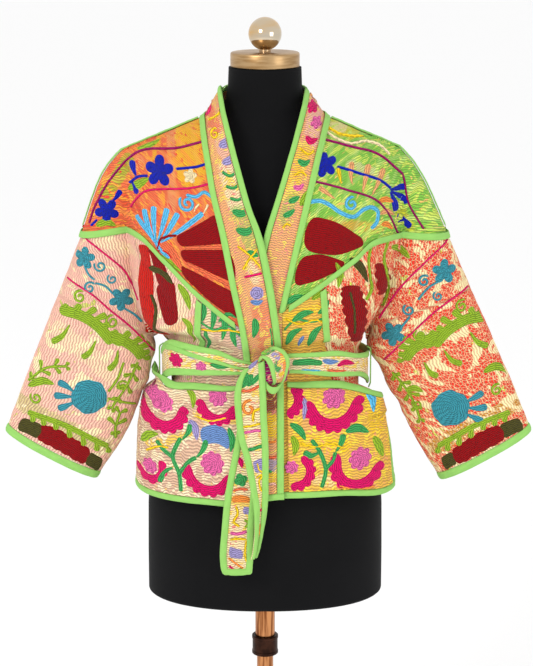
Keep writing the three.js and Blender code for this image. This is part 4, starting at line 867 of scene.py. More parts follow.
# the dress form and its stand
formTable = {
    "z": [631, 700, 780, 860, 930, 975, 1010, 1050, 1100, 1160, 1220, 1280, 1325, 1346, 1366, 1385, 1399,
          1411, 1428, 1450, 1478],
    "half": [190, 190, 189, 184, 168, 148, 136, 136, 148, 160, 168, 176, 184, 182, 168, 126, 92, 72, 61, 57.5,
             56.5],
    "front": [118, 120, 122, 120, 113, 103, 98, 100, 112, 122, 121, 110, 92, 80, 70, 62, 58, 56, 55, 54, 54],
    "back": [118, 121, 121, 117, 106, 96, 90, 91, 98, 104, 106, 100, 88, 78, 68, 62, 60, 59, 58, 57, 56],
}
form = {"fullness": 2.15, "columns": 144, "rows": 170, "seamDepth": 0.7, "seamWidth": 1.3, "neckSeam": 1385,
        "bottomRound": 5}


def formMaterial():
    material, tree, shader = newMaterial("blackJersey", 0.8, 0.02)
    spot = addNode(tree, "ShaderNodeTexCoord").outputs["Object"]
    worn = noise(tree, spot, 9.0, 3.0).outputs[0]
    knit = noise(tree, spot, 1500.0, 1.0).outputs[0]
    shade = mixed(tree, worn, tint(5, 5, 6), tint(15, 15, 17))
    tree.links.new(shade, shader.inputs["Base Color"])
    setBump(tree, shader, knit, 0.5, 0.0006)
    return material


def makeForm():
    turn = np.linspace(0, 2 * np.pi, form["columns"] + 1)
    low, high = formTable["z"][0], formTable["z"][-1]
    levels = np.concatenate([[low], low + form["bottomRound"] * (1 - np.cos(np.linspace(0, np.pi / 2, 5))),
                             np.linspace(low + form["bottomRound"] + 2, high, form["rows"])])
    t, z = np.meshgrid(turn, levels)
    c, s = np.cos(t), np.sin(t)
    power = 2 / form["fullness"]
    tuck = np.where(z < low + form["bottomRound"], (1 - (z - low) / form["bottomRound"]) ** 2, 0)
    shrink = 0.997 - 0.026 * tuck
    half = np.interp(z, formTable["z"], formTable["half"])
    deep = np.where(s < 0, np.interp(z, formTable["z"], formTable["front"]),
                    np.interp(z, formTable["z"], formTable["back"]))
    x = half * np.sign(c) * np.abs(c) ** power * shrink
    y = deep * np.sign(s) * np.abs(s) ** power * shrink
    # seams: centre front and back, the princess lines, the sides and the neck's base, which dips in front
    dip = form["neckSeam"] + 12 * np.abs(x) / 60 + np.where(s < 0, 0, 14)
    seam = np.maximum.reduce([np.exp(-((x - place * half) / form["seamWidth"]) ** 2)
                              for place in (0, 0.52, -0.52)])
    seam = np.where(z < dip, seam, 0)
    seam = np.maximum(seam, np.exp(-((z - dip) / form["seamWidth"]) ** 2))
    push = 1 - form["seamDepth"] * seam / np.maximum(np.hypot(x, y), 1)
    points = np.stack([x * push, y * push, z], axis=-1)
    tube = np.stack([18 * c[0], 18 * s[0], np.full_like(c[0], low)], axis=-1)
    centre = np.zeros_like(tube) + [0, 0, high]
    points = np.concatenate([tube[None] + [0, 0, 40], tube[None], points, centre[None]])
    centreIn = np.zeros_like(tube) + [0, 0, low + 40]
    points = np.concatenate([centreIn[None], points])
    uv = points[..., [0, 2]] * 0.001
    bm = bmesh.new()
    sheetMesh(bm, points, uv, wrapped=True)
    finish("formBody", closed(bm), formMaterial(), node="form_torso")


def metalMaterial(name, colour, roughness, streak=None, brushed=(1, 1, 1), bumpSize=0.0):
    material, tree, shader = newMaterial(name, roughness, 0.0)
    shader.inputs["Metallic"].default_value = 1.0
    shader.inputs["Specular IOR Level"].default_value = 0.5
    spot = addNode(tree, "ShaderNodeTexCoord").outputs["Object"]
    lay = addNode(tree, "ShaderNodeMapping", {0: spot, 3: brushed}).outputs[0]
    grain = noise(tree, lay, 40.0, 4.0).outputs[0]
    tone = mixed(tree, ramp(tree, grain, 0.35, 0.7), colour, streak or colour)
    tree.links.new(tone, shader.inputs["Base Color"])
    tree.links.new(spread(tree, grain, roughness * 0.8, roughness * 1.3), shader.inputs["Roughness"])
    if bumpSize:
        setBump(tree, shader, grain, 0.4, bumpSize)
    return material


def turned(name, profile, material, slot, node, body, segments=72):
    # spins a profile of radius and height, in millimetres, about the pole
    bm = bmesh.new()
    line = [bm.verts.new((r * 0.001, 0, z * 0.001)) for r, z in profile]
    edges = [bm.edges.new(pair) for pair in zip(line, line[1:])]
    bmesh.ops.spin(bm, geom=line + edges, cent=(0, 0, 0), axis=(0, 0, 1), angle=2 * math.pi, steps=segments,
                   use_merge=True)
    made = finish(name, closed(bm), material, body, node)
    made.data.set_sharp_from_angle(angle=math.radians(40))
    return made


stand = {"tube": 16, "tubeBore": 14.2, "tubeLow": 549.3, "tubeTop": 1239, "rod": 13.4, "rodLow": 45.3,
         "rodTop": 790, "collar": 21.5, "collarBore": 13.9, "collarLow": 517, "collarTop": 549, "cap": 53.5,
         "capLow": 1478.4, "capTop": 1501, "ball": 25.7, "ballCentre": 1529, "stem": 9, "base": 190,
         "baseEdge": 9, "boss": 24, "baseTop": 45}


def makeStand():
    s = stand
    copper = metalMaterial("copperBrass", tint(205, 142, 92), 0.3, tint(120, 66, 34), (6.0, 6.0, 0.35))
    bronze = metalMaterial("darkBronze", tint(70, 44, 34), 0.42, tint(34, 24, 20), bumpSize=0.0004)
    pale = metalMaterial("paleBrass", tint(186, 154, 112), 0.36, tint(156, 122, 80), (0.6, 0.6, 6.0))
    chrome = metalMaterial("chromeBrass", tint(202, 190, 170), 0.1, tint(214, 170, 104), (0.2, 0.2, 0.8))
    turned("standBase", [(0, 0), (s["base"] - 1.5, 0), (s["base"], 1.5), (s["base"], s["baseEdge"] - 1),
                         (s["base"] - 2, s["baseEdge"] + 1), (s["base"] - 8, s["baseEdge"] + 4.4),
                         (s["boss"] + 8, s["baseEdge"] + 12.6), (s["boss"] + 1, s["baseEdge"] + 17),
                         (s["boss"], s["baseEdge"] + 20), (s["boss"], s["baseTop"] - 2.5),
                         (s["boss"] - 2.5, s["baseTop"]), (0, s["baseTop"])],
           bronze, "dark_bronze", "base", "stand")
    turned("standRod", [(0, s["rodLow"]), (s["rod"], s["rodLow"]), (s["rod"], s["rodTop"] - 1.5),
                        (s["rod"] - 1.5, s["rodTop"]), (0, s["rodTop"])],
           copper, "copper_brass", "rod", "stand")
    low, top, r, bore = s["collarLow"], s["collarTop"], s["collar"], s["collarBore"]
    turned("standCollar", [(bore, low), (r - 1, low), (r, low + 1), (r, low + 5), (r - 0.8, low + 5.8),
                           (r - 0.8, top - 6), (r, top - 5.2), (r, top - 1), (r - 1, top), (bore, top),
                           (bore, low)],
           bronze, "dark_bronze", "collar", "clamp")
    low, top, r, bore = s["tubeLow"], s["tubeTop"], s["tube"], s["tubeBore"]
    turned("formTube", [(bore, low), (r - 0.5, low), (r, low + 0.5), (r, top), (bore, top), (bore, low)],
           copper, "copper_brass", "upper_tube", "dressed_form")
    low, top, r = s["capLow"], s["capTop"], s["cap"]
    turned("neckCap", [(0, low), (r - 1.2, low), (r - 0.4, low + 0.6), (r, low + 1.6), (r, top - 3),
                       (r - 0.7, top - 1), (r - 2.4, top), (s["stem"] + 4, top), (s["stem"] + 3, top),
                       (0, top)],
           pale, "pale_brass", "neck_cap", "dressed_form", 96)
    sunk = math.asin(s["stem"] / s["ball"])
    dome = [(s["ball"] * math.sin(a), s["ballCentre"] + s["ball"] * math.cos(a))
           for a in np.linspace(math.pi - sunk, 0, 40)]
    turned("finialBall", [(0, top + 0.3), (s["stem"], top + 0.3)] + dome[:-1] + [(0, dome[-1][1])], chrome,
           "chrome_brass", "finial_ball", "dressed_form", 96)


makeForm()
makeStand()
print("form and stand made")


# where each motif lies, in front-view millimetres
def rowOf(kind, count=0):
    # a row gives its thread and size, what its kind needs more, then x and z of its points
    def row(key, size, *rest):
        places = rest[count:]
        return kind, key, size, list(zip(places[::2], places[1::2])), *rest[:count]
    return row


wash = rowOf("wash", 1)  # how far it covers
cord, leaf, finger, lobed, disc = map(rowOf, ("cord", "leaf", "finger", "lobed", "disc"))
frond = rowOf("frond", 3)  # pairs of leaves, their sides, the stem's share
flower = rowOf("flower", 3)  # petals, depth of their notches, turn
spiral = rowOf("spiral", 3)  # width, turns, start
arc = rowOf("arc", 4)  # width, first and last angle, lobes


def strip(key, *places):
    return rowOf("strip")(key, 0, *places)


motifs = {
    "yokeRight": [
        wash("apricot", 13.7, 0.6, -144, 1383, -140, 1236),
        wash("yellow", 45.6, 0.75, -115, 1385, -112, 1329),
        wash("yellow", 6.1, 0.6, -163, 1373, -175, 1320),
        wash("scarlet", 18.2, 0.35, -225, 1285, -175, 1247),
        wash("apricot", 15.2, 0.5, -232, 1307, -192, 1339),
        wash("moss", 21.3, 0.8, -249, 1282, -227, 1313, -212, 1337),
        leaf("moss", 13.7, -198, 1355, -179, 1363, -162, 1370),
        leaf("moss", 13.7, -213, 1294, -194, 1306, -177, 1316),
        leaf("moss", 12.2, -262, 1236, -246, 1243, -231, 1237),
        flower("cream", 11.4, 5, 0.42, 0.2, -113, 1323),
        finger("cream", 4, -93, 1269, -88, 1277, -85, 1284),
        finger("cream", 4, -107, 1272, -104, 1278, -99, 1284),
        cord("plum", 3.6, -88, 1373, -133, 1361, -175, 1356, -196, 1350, -214, 1337, -229, 1320,
             -244, 1300, -257, 1278, -267, 1257, -273, 1238),
        cord("magenta", 3.6, -78, 1315, -113, 1306, -175, 1299, -198, 1284, -211, 1267),
        cord("royal", 4.3, -83, 1343, -106, 1336, -135, 1332),
        flower("royal", 23.6, 5, 0.5, 0.3, -161, 1327),
        cord("royal", 4.3, -179, 1319, -196, 1316, -211, 1304),
        finger("royal", 11.4, -199, 1316, -204, 1327, -205, 1338),
        finger("royal", 10.6, -207, 1308, -202, 1300, -198, 1290),
        flower("royal", 20.5, 5, 0.5, 0.9, -245, 1260),
        finger("royal", 9.1, -237, 1274, -229, 1283, -223, 1292),
        cord("royal", 4, -260, 1246, -270, 1235),
        spiral("sky", 12.9, 4.9, 1.4, 2.4, -117, 1284),
        cord("sky", 5.5, -119, 1296, -104, 1294, -91, 1301, -77, 1293, -72, 1288),
        finger("sky", 9.7, -167, 1221, -182, 1240, -200, 1258),
        finger("sky", 9.7, -167, 1222, -178, 1245, -185, 1270),
        finger("sky", 9.7, -166, 1224, -169, 1249, -169, 1276),
        finger("sky", 9.7, -163, 1224, -154, 1251, -148, 1275),
        finger("sky", 9.4, -159, 1223, -145, 1244, -131, 1269),
        finger("sky", 8.5, -158, 1222, -128, 1243, -93, 1271),
        cord("sky", 7.6, -167, 1225, -158, 1211, -144, 1200),
        strip("crimson", -136, 1234, -102, 1254, -68, 1275, -128, 1218, -92, 1222, -52, 1227),
        strip("crimson", -130, 1214, -90, 1217, -49, 1219, -123, 1196, -82, 1181, -40, 1165),
        cord("coral", 6.1, -122, 1217, -88, 1220, -53, 1222),
        cord("coral", 7.6, -119, 1194, -82, 1178, -40, 1159),
        leaf("coral", 21.3, -161, 1224, -144, 1209, -126, 1183),
        strip("crimson", -130, 1192, -84, 1172, -39, 1152, -124, 1174, -86, 1139, -33, 1106),
        cord("crimson", 4.6, -133, 1236, -150, 1232, -159, 1226, -163, 1212),
    ],
    "sideRight": [
        wash("cream", 24.3, 0.7, -113, 1176, -148, 1054),
        wash("apricot", 12.2, 0.6, -143, 1085, -105, 1109),
        strip("scarlet", -195, 1215, -197, 1147, -186, 1061, -177, 1215, -172, 1148, -169, 1060),
        strip("crimson", -182, 1214, -173, 1190, -169, 1152, -159, 1199, -150, 1184, -145, 1160),
        strip("crimson", -171, 1155, -165, 1127, -153, 1089, -137, 1168, -134, 1136, -132, 1098),
        cord("olive", 6.1, -176, 1138, -168, 1111, -174, 1066),
        leaf("olive", 15.2, -181, 1179, -159, 1177, -140, 1160),
        leaf("moss", 12.2, -159, 1202, -144, 1194, -126, 1180),
        leaf("moss", 12.2, -132, 1161, -120, 1143, -114, 1121),
        leaf("moss", 10.6, -127, 1107, -115, 1092, -123, 1064),
        cord("scarlet", 3.6, -163, 1210, -150, 1209, -141, 1200),
    ],
    "centreRight": [
        wash("cream", 12.2, 0.6, -89, 1139, -83, 1065),
        wash("lavender", 12.2, 0.4, -43, 1103, -38, 1072),
        leaf("green", 9.1, -94, 1135, -92, 1119, -96, 1103),
        leaf("green", 9.9, -78, 1131, -77, 1112, -81, 1092),
        leaf("green", 10.6, -63, 1119, -60, 1101, -64, 1078),
        leaf("green", 9.9, -46, 1102, -48, 1086, -43, 1069),
        leaf("green", 9.1, -90, 1091, -91, 1073, -95, 1055),
        leaf("green", 7.6, -70, 1106, -55, 1120, -43, 1114),
        cord("green", 4, -99, 1103, -77, 1093, -55, 1101, -37, 1086),
        cord("yellow", 4, -98, 1091, -77, 1091, -55, 1095, -37, 1092),
    ],
    "sleeveRight": [
        wash("cream", 30.4, 0.55, -322, 1069, -229, 988),
        wash("cream", 21.3, 0.6, -256, 1215, -211, 1198),
        cord("magenta", 3.3, -284, 1218, -256, 1199, -223, 1170, -209, 1144, -197, 1121),
        cord("magenta", 3.3, -310, 1151, -273, 1131, -242, 1103, -203, 1067, -175, 1030),
        flower("teal", 18.2, 5, 0.5, 0.2, -281, 1185),
        spiral("teal", 9.9, 3.6, 1.4, 2.6, -256, 1174),
        cord("teal", 3.6, -285, 1185, -275, 1161, -265, 1152),
        spiral("teal", 9.9, 3.6, 1.4, 0.6, -273, 1139),
        cord("teal", 3.6, -265, 1147, -249, 1142, -237, 1129),
        flower("teal", 19.8, 5, 0.5, 0.9, -225, 1120),
        spiral("teal", 8.4, 3.3, 1.3, 2, -238, 1153),
        cord("teal", 3.3, -221, 1105, -206, 1094, -193, 1080),
        frond("moss", 22.8, 6, (1,), 0.8, -322, 1102, -289, 1095, -262, 1078, -239, 1050),
        frond("moss", 22.8, 5, (1,), 0.8, -246, 1065, -222, 1053, -203, 1038, -192, 1021),
        spiral("moss", 10.6, 4.3, 1.4, 1, -289, 1124),
        spiral("moss", 11.4, 4.3, 1.4, 1.4, -239, 1084),
        finger("moss", 10.6, -306, 1079, -319, 1060, -336, 1049),
        finger("moss", 10.6, -265, 1055, -275, 1036, -288, 1026),
        finger("moss", 10.6, -231, 1039, -235, 1018, -247, 1005),
        frond("moss", 15.2, 3, (-1, 1), 0.3, -376, 983, -346, 1007, -313, 1012),
        frond("moss", 15.2, 4, (-1, 1), 0.3, -199, 1015, -217, 981, -243, 941),
        leaf("moss", 13.7, -376, 975, -353, 986, -333, 982),
        disc("teal", 28.9, -278, 962),
        finger("teal", 12.2, -302, 970, -314, 980, -327, 986),
        finger("teal", 12.2, -304, 962, -319, 963, -334, 964),
        finger("teal", 12.2, -301, 954, -315, 947, -328, 942),
        spiral("sky", 13.7, 3.3, 1.6, 0.4, -277, 962),
        spiral("moss", 9.9, 4.3, 1.4, 2.4, -363, 958),
        spiral("moss", 9.1, 4, 1.3, 0.4, -226, 978),
        cord("moss", 4.6, -248, 970, -232, 992, -222, 1017),
        wash("moss", 25.8, 0.45, -387, 948, -325, 917, -257, 877),
        frond("moss", 19.8, 6, (-1,), 0.5, -377, 934, -316, 914, -251, 876),
        cord("moss", 4.3, -249, 959, -226, 950, -205, 944),
        frond("moss", 16.7, 2, (-1, 1), 0.3, -239, 889, -238, 910, -230, 934),
        strip("olive", -387, 925, -370, 922, -351, 914, -397, 903, -379, 898, -361, 889),
        strip("olive", -279, 870, -269, 862, -258, 853, -290, 848, -278, 839, -269, 830),
        lobed("crimson", 2.1, -356, 918, -316, 902, -275, 871, -366, 891, -327, 870, -288, 844),
    ],
    "bandRight": [
        wash("coral", 21.3, 0.8, -88, 1421, -74, 1391),
        wash("cream", 24.3, 0.8, -56, 1337, -42, 1284),
        wash("pink", 24.3, 0.7, -61, 1375, -50, 1348),
        wash("leaf", 21.3, 0.55, -40, 1274, -19, 1226),
        wash("cream", 15.2, 0.7, -22, 1195, -13, 1173),
        wash("coral", 30.4, 0.6, -4, 1127, 5, 1073),
        wash("yellow", 39.5, 0.9, 5, 941, 5, 919),
        wash("maroon", 30.4, 0.8, 11, 1001, 11, 973),
        wash("apricot", 39.5, 1, 8, 904, 8, 901),
        wash("blue", 21.3, 0.6, -5, 881, 23, 881),
        wash("yellow", 18.2, 0.9, -5, 862, 23, 862),
        leaf("magenta", 10.6, -89, 1406, -84, 1418, -82, 1430),
        cord("yellow", 3.6, -85, 1401, -71, 1407, -58, 1417),
        spiral("yellow", 8.4, 3.6, 1.3, 1, -73, 1383),
        leaf("lavender", 13.7, -66, 1366, -55, 1372, -45, 1378),
        leaf("lavender", 12.2, -62, 1343, -50, 1348, -41, 1356),
        cord("green", 4.9, -62, 1331, -50, 1326, -36, 1335),
        cord("green", 4.9, -57, 1311, -45, 1309, -32, 1319),
        cord("green", 4.9, -51, 1294, -39, 1292, -26, 1301),
        leaf("green", 12.2, -48, 1276, -35, 1272, -22, 1278),
        leaf("green", 12.9, -43, 1249, -28, 1245, -15, 1254),
        cord("yellow", 4, -41, 1224, -22, 1209, -3, 1188),
        cord("yellow", 4, -7, 1224, -22, 1206, -33, 1188),
        leaf("green", 10.6, -27, 1215, -18, 1212, -7, 1209),
        cord("hotPink", 4, -31, 1177, -13, 1181, 3, 1185),
        disc("lavender", 10.6, -12, 1153),
        leaf("blue", 9.1, -22, 1141, -12, 1138, -3, 1142),
        leaf("green", 12.2, -16, 1114, -14, 1099, -18, 1083),
        leaf("green", 9.1, 8, 1099, 13, 1087, 10, 1071),
        cord("coral", 4.6, -5, 896, 11, 893, 24, 897),
        cord("green", 4.6, 2, 874, 11, 871),
        cord("pink", 4.6, -5, 850, 11, 853, 24, 849),
        cord("orange", 4, -5, 919, 11, 916, 24, 921),
    ],
    "yokeLeft": [
        wash("yellow", 24.3, 0.6, 81, 1405, 134, 1383),
        wash("cream", 12.2, 0.7, 87, 1391, 123, 1388),
        wash("leaf", 39.5, 0.4, 145, 1357, 210, 1300),
        wash("cream", 15.2, 0.55, 129, 1338, 184, 1315),
        wash("yellow", 15.2, 0.5, 204, 1272, 228, 1227),
        wash("orange", 15.2, 0.6, 98, 1257, 175, 1242),
        cord("cream", 3.6, 92, 1386, 107, 1376, 130, 1367, 155, 1368, 177, 1360, 192, 1347),
        cord("yellow", 3.6, 93, 1392, 113, 1381, 134, 1376, 153, 1375),
        cord("plum", 3.6, 86, 1376, 130, 1363, 172, 1350, 207, 1322, 215, 1309, 223, 1271, 246, 1232),
        cord("plum", 3.6, 74, 1318, 121, 1304, 167, 1286, 193, 1257, 209, 1224),
        flower("royal", 19, 5, 0.5, 0.5, 91, 1340),
        cord("royal", 4.3, 109, 1336, 118, 1334, 147, 1324, 176, 1313, 195, 1299),
        finger("royal", 11.4, 193, 1297, 207, 1297, 217, 1298),
        finger("royal", 11.4, 194, 1294, 202, 1278, 206, 1262),
        finger("royal", 9.9, 195, 1295, 212, 1283, 220, 1272),
        finger("royal", 12.2, 210, 1256, 214, 1245, 226, 1235),
        finger("apricot", 9.1, 132, 1311, 130, 1326, 132, 1342),
        finger("apricot", 9.9, 148, 1298, 153, 1318, 158, 1337),
        finger("apricot", 9.9, 163, 1293, 174, 1312, 182, 1329),
        finger("yellow", 6.8, 115, 1312, 113, 1323, 110, 1335),
        finger("apricot", 7.6, 105, 1291, 93, 1300, 81, 1309),
        leaf("orange", 9.1, 172, 1282, 186, 1284, 202, 1277),
        leaf("apricot", 9.1, 175, 1263, 188, 1266, 202, 1257),
        leaf("orange", 9.1, 177, 1247, 187, 1246, 198, 1236),
        leaf("moss", 12.2, 53, 1283, 62, 1297, 71, 1308),
        cord("sky", 6.4, 65, 1288, 83, 1289, 98, 1282, 115, 1270, 134, 1263, 148, 1272, 161, 1275,
             172, 1267, 170, 1252, 161, 1243),
        spiral("sky", 10.6, 4.9, 1.3, 1.2, 131, 1282),
        strip("crimson", 148, 1230, 109, 1257, 66, 1270, 150, 1218, 107, 1206, 54, 1215),
        strip("crimson", 122, 1196, 84, 1210, 51, 1206, 117, 1185, 80, 1169, 41, 1158),
    ],
    "sideLeft": [
        wash("cream", 15.2, 0.6, 113, 1215, 126, 1175),
        cord("moss", 5.2, 163, 1221, 158, 1192, 166, 1152, 156, 1130),
        lobed("crimson", 4.6, 115, 1159, 119, 1120, 133, 1062, 145, 1158, 157, 1113, 154, 1054),
        cord("olive", 5.2, 129, 1148, 137, 1117, 138, 1076),
        leaf("olive", 13.7, 128, 1201, 144, 1187, 160, 1158),
        leaf("moss", 12.2, 107, 1196, 114, 1178, 111, 1156),
    ],
    "centreLeft": [
        wash("yellow", 15.2, 0.6, 35, 1111, 91, 1129),
        wash("apricot", 12.2, 0.7, 54, 1075, 92, 1081),
        leaf("green", 11.4, 32, 1134, 45, 1143, 62, 1145),
        leaf("green", 12.2, 41, 1105, 58, 1117, 74, 1120),
        leaf("green", 12.2, 33, 1067, 41, 1085, 57, 1094),
        leaf("green", 12.2, 69, 1063, 75, 1084, 87, 1097),
        leaf("moss", 10.6, 71, 1139, 83, 1148, 97, 1150),
        leaf("green", 9.1, 80, 1117, 91, 1125, 97, 1138),
        cord("green", 4, 29, 1092, 47, 1108, 72, 1104, 96, 1112),
        cord("yellow", 4, 30, 1111, 53, 1101, 78, 1107, 96, 1096),
        leaf("blue", 7.6, 53, 1064, 56, 1075, 60, 1081),
    ],
    "sleeveLeft": [
        cord("moss", 5.5, 189, 1221, 187, 1185, 193, 1136, 184, 1106),
        lobed("crimson", 4.6, 171, 1189, 173, 1162, 175, 1132, 189, 1181, 196, 1149, 189, 1130),
        leaf("moss", 12.2, 197, 1209, 213, 1198, 225, 1186),
        cord("magenta", 3.3, 286, 1213, 249, 1180, 211, 1138, 179, 1086),
        cord("magenta", 3.3, 319, 1137, 273, 1107, 227, 1063, 187, 1018),
        flower("teal", 20.5, 5, 0.5, 0.3, 279, 1164),
        cord("teal", 4, 273, 1151, 254, 1139, 239, 1120),
        spiral("teal", 9.9, 4, 1.4, 0.8, 248, 1150),
        spiral("teal", 9.9, 4, 1.4, 2, 225, 1103),
        cord("teal", 4, 227, 1093, 215, 1077, 203, 1063),
        flower("teal", 20.5, 5, 0.5, 0.9, 201, 1063),
        spiral("teal", 8.4, 3.3, 1.3, 2, 270, 1126),
        frond("moss", 22.8, 6, (-1,), 0.8, 357, 1086, 318, 1087, 287, 1071, 265, 1046),
        frond("moss", 22.8, 5, (-1,), 0.8, 274, 1065, 249, 1052, 231, 1039, 220, 1021),
        spiral("moss", 10.6, 4.3, 1.4, 1, 308, 1108),
        spiral("moss", 10.6, 4.3, 1.4, 2, 243, 1063),
        finger("moss", 10.6, 322, 1066, 335, 1049, 352, 1041),
        finger("moss", 10.6, 281, 1039, 294, 1022, 310, 1016),
        finger("moss", 10.6, 250, 1019, 260, 1002, 273, 996),
        leaf("moss", 13.7, 345, 1001, 366, 1008, 394, 993),
        leaf("moss", 12.2, 223, 969, 236, 975, 250, 970),
        disc("teal", 30.4, 294, 943),
        finger("teal", 12.2, 318, 954, 332, 961, 345, 969),
        finger("teal", 12.2, 321, 944, 337, 943, 352, 945),
        finger("teal", 12.2, 318, 934, 333, 927, 346, 920),
        spiral("sky", 13.7, 3.3, 1.6, 0.4, 293, 943),
        spiral("moss", 9.9, 4.3, 1.4, 1, 367, 971),
        spiral("moss", 9.1, 4, 1.3, 2.4, 241, 947),
        wash("moss", 25.8, 0.45, 396, 948, 332, 917, 273, 878),
        frond("moss", 19.8, 6, (1,), 0.5, 389, 934, 332, 914, 276, 878),
        frond("moss", 15.2, 4, (-1, 1), 0.3, 200, 998, 227, 968, 247, 921),
        strip("olive", 404, 924, 388, 921, 370, 914, 415, 902, 398, 898, 380, 889),
        strip("olive", 298, 871, 289, 865, 280, 857, 308, 848, 299, 843, 290, 834),
        lobed("crimson", 2.1, 373, 917, 332, 899, 295, 872, 385, 891, 343, 868, 307, 845),
    ],
    "bandLeft": [
        wash("pink", 24.3, 0.8, 79, 1427, 71, 1377),
        wash("yellow", 21.3, 0.7, 59, 1364, 40, 1306),
        wash("leaf", 18.2, 0.5, 43, 1303, 29, 1265),
        flower("hotPink", 10.6, 5, 0.4, 0.2, 73, 1422),
        flower("carnation", 9.9, 5, 0.4, 0.8, 78, 1400),
        leaf("magenta", 10.6, 62, 1383, 69, 1375, 80, 1378),
        cord("yellow", 3.6, 52, 1367, 65, 1357, 74, 1362),
        leaf("green", 9.9, 49, 1350, 59, 1344, 68, 1349),
        cord("yellow", 3.6, 43, 1327, 54, 1332, 63, 1326),
        leaf("carnation", 9.1, 42, 1312, 51, 1309, 58, 1315),
        leaf("green", 9.9, 35, 1289, 44, 1292, 52, 1297),
        leaf("green", 9.9, 27, 1268, 36, 1271, 45, 1278),
        cord("yellow", 3.6, 26, 1250, 33, 1256, 39, 1253),
    ],
    "pocketRight": [
        wash("cream", 30.4, 0.55, -184, 968, -59, 1004),
        wash("yellow", 12.2, 0.7, -178, 896, -114, 923),
        wash("yellow", 12.2, 0.7, -104, 953, -45, 948),
        wash("cream", 18.2, 0.6, -98, 883, -40, 893),
        wash("lavender", 15.2, 0.6, -98, 1021, -58, 1019),
        strip("blue", -101, 934, -76, 941, -55, 934, -95, 907, -73, 912, -52, 901),
        leaf("lavender", 13.7, -116, 943, -107, 933, -104, 915),
        arc("hotPink", 30.4, 18.2, 176, 368, 9, -155, 958),
        flower("carnation", 17.5, 8, 0.22, 0.2, -155, 963),
        arc("hotPink", 27.4, 16.7, 176, 350, 8, -71, 975),
        flower("carnation", 16, 8, 0.22, 0.5, -71, 982),
        arc("hotPink", 33.4, 18.2, 168, 352, 9, -86, 872),
        flower("carnation", 19.8, 8, 0.22, 0.1, -80, 882),
        arc("hotPink", 19.8, 13.7, 190, 400, 6, -177, 863),
        flower("carnation", 12.9, 7, 0.25, 0.6, -177, 863),
        cord("green", 7, -129, 833, -132, 861, -141, 887, -129, 916),
        cord("green", 7, -132, 861, -117, 881, -105, 889),
        cord("green", 7, -139, 884, -154, 893, -165, 905),
        finger("green", 9.9, -141, 869, -154, 860, -163, 842),
        finger("green", 9.9, -127, 913, -117, 926, -113, 938),
        finger("green", 9.9, -105, 889, -95, 901, -89, 917),
        leaf("moss", 10.6, -119, 990, -110, 979, -110, 961),
        leaf("moss", 10.6, -189, 895, -175, 910, -162, 915),
        leaf("green", 10.6, -55, 937, -49, 919, -52, 901),
        cord("yellow", 3.6, -182, 885, -162, 897, -147, 898),
        cord("yellow", 3.6, -104, 950, -83, 945, -58, 951),
        cord("hotPink", 4.6, -123, 1008, -113, 1004, -101, 1009),
    ],
    "pocketLeft": [
        wash("apricot", 24.3, 0.6, 53, 990, 71, 933),
        wash("yellow", 21.3, 0.8, 53, 919, 121, 905),
        wash("yellow", 18.2, 0.7, 157, 975, 172, 918),
        wash("cream", 18.2, 0.5, 81, 856, 121, 847),
        arc("hotPink", 38, 21.3, 178, 360, 10, 105, 975),
        flower("carnation", 19, 8, 0.22, 0.3, 105, 979),
        arc("hotPink", 35, 19.8, 150, 352, 9, 143, 876),
        flower("carnation", 19, 8, 0.22, 0, 146, 882),
        arc("hotPink", 22.8, 16.7, -80, 60, 6, 29, 979),
        arc("hotPink", 22.8, 15.2, -110, 70, 7, 47, 870),
        flower("carnation", 11.4, 7, 0.25, 0.3, 41, 877),
        cord("green", 7, 87, 843, 93, 871, 84, 899, 71, 918),
        cord("green", 7, 91, 871, 103, 883, 108, 897),
        finger("green", 10.6, 84, 899, 71, 894, 59, 900),
        finger("green", 10.6, 108, 897, 116, 909, 120, 923),
        leaf("green", 13.7, 123, 926, 141, 929, 159, 919),
        leaf("green", 12.2, 38, 943, 53, 933, 62, 918),
        leaf("moss", 12.2, 41, 925, 47, 910, 44, 895),
        leaf("moss", 12.2, 166, 911, 175, 894, 182, 876),
        leaf("sky", 9.1, 154, 976, 163, 961, 165, 945),
        leaf("lavender", 10.6, 59, 981, 62, 966, 59, 948),
        cord("yellow", 3.6, 53, 913, 77, 907, 99, 910, 120, 902),
        cord("orange", 4, 114, 844, 139, 835, 169, 834),
    ],
    "sashRight": [
        flower("hotPink", 12.2, 6, 0.3, 0.2, -138, 1034),
        flower("carnation", 9.9, 6, 0.3, 0.6, -98, 1030),
        leaf("lavender", 9.1, -125, 1050, -112, 1046, -100, 1046),
        leaf("green", 9.1, -84, 1036, -69, 1034, -50, 1035),
        leaf("coral", 7.6, -122, 1022, -109, 1021, -97, 1019),
    ],
    "sashLeft": [
        strip("green", 41, 1045, 66, 1047, 87, 1042, 41, 1036, 66, 1035, 87, 1033),
        leaf("blue", 9.1, 87, 1042, 100, 1038, 112, 1038),
        leaf("magenta", 9.9, 111, 1030, 123, 1034, 138, 1028),
        leaf("sky", 7.6, 54, 1029, 69, 1026, 84, 1027),
        leaf("coral", 6.8, 94, 1026, 109, 1022, 125, 1021),
    ],
    "tailFront": [
        flower("green", 12.9, 5, 0.35, 0.4, -29, 1014),
        leaf("green", 9.1, -23, 1006, -14, 1012, -5, 1019),
        leaf("lavender", 8.4, -27, 1032, -18, 1035, -11, 1040),
        cord("coral", 4.9, -38, 999, -23, 998, -6, 1003),
        spiral("orange", 12.2, 5.2, 1.1, 1.2, -24, 973),
        cord("yellow", 4.9, -18, 953, -17, 968, -6, 973),
        cord("yellow", 4, -34, 945, -20, 947, -6, 950),
        cord("carnation", 4.9, -32, 936, -18, 939, -5, 939),
        cord("green", 6.1, -26, 910, -14, 913, -3, 916),
        strip("lavender", -20, 893, -11, 896, 0, 898, -15, 873, -6, 876, 2, 878),
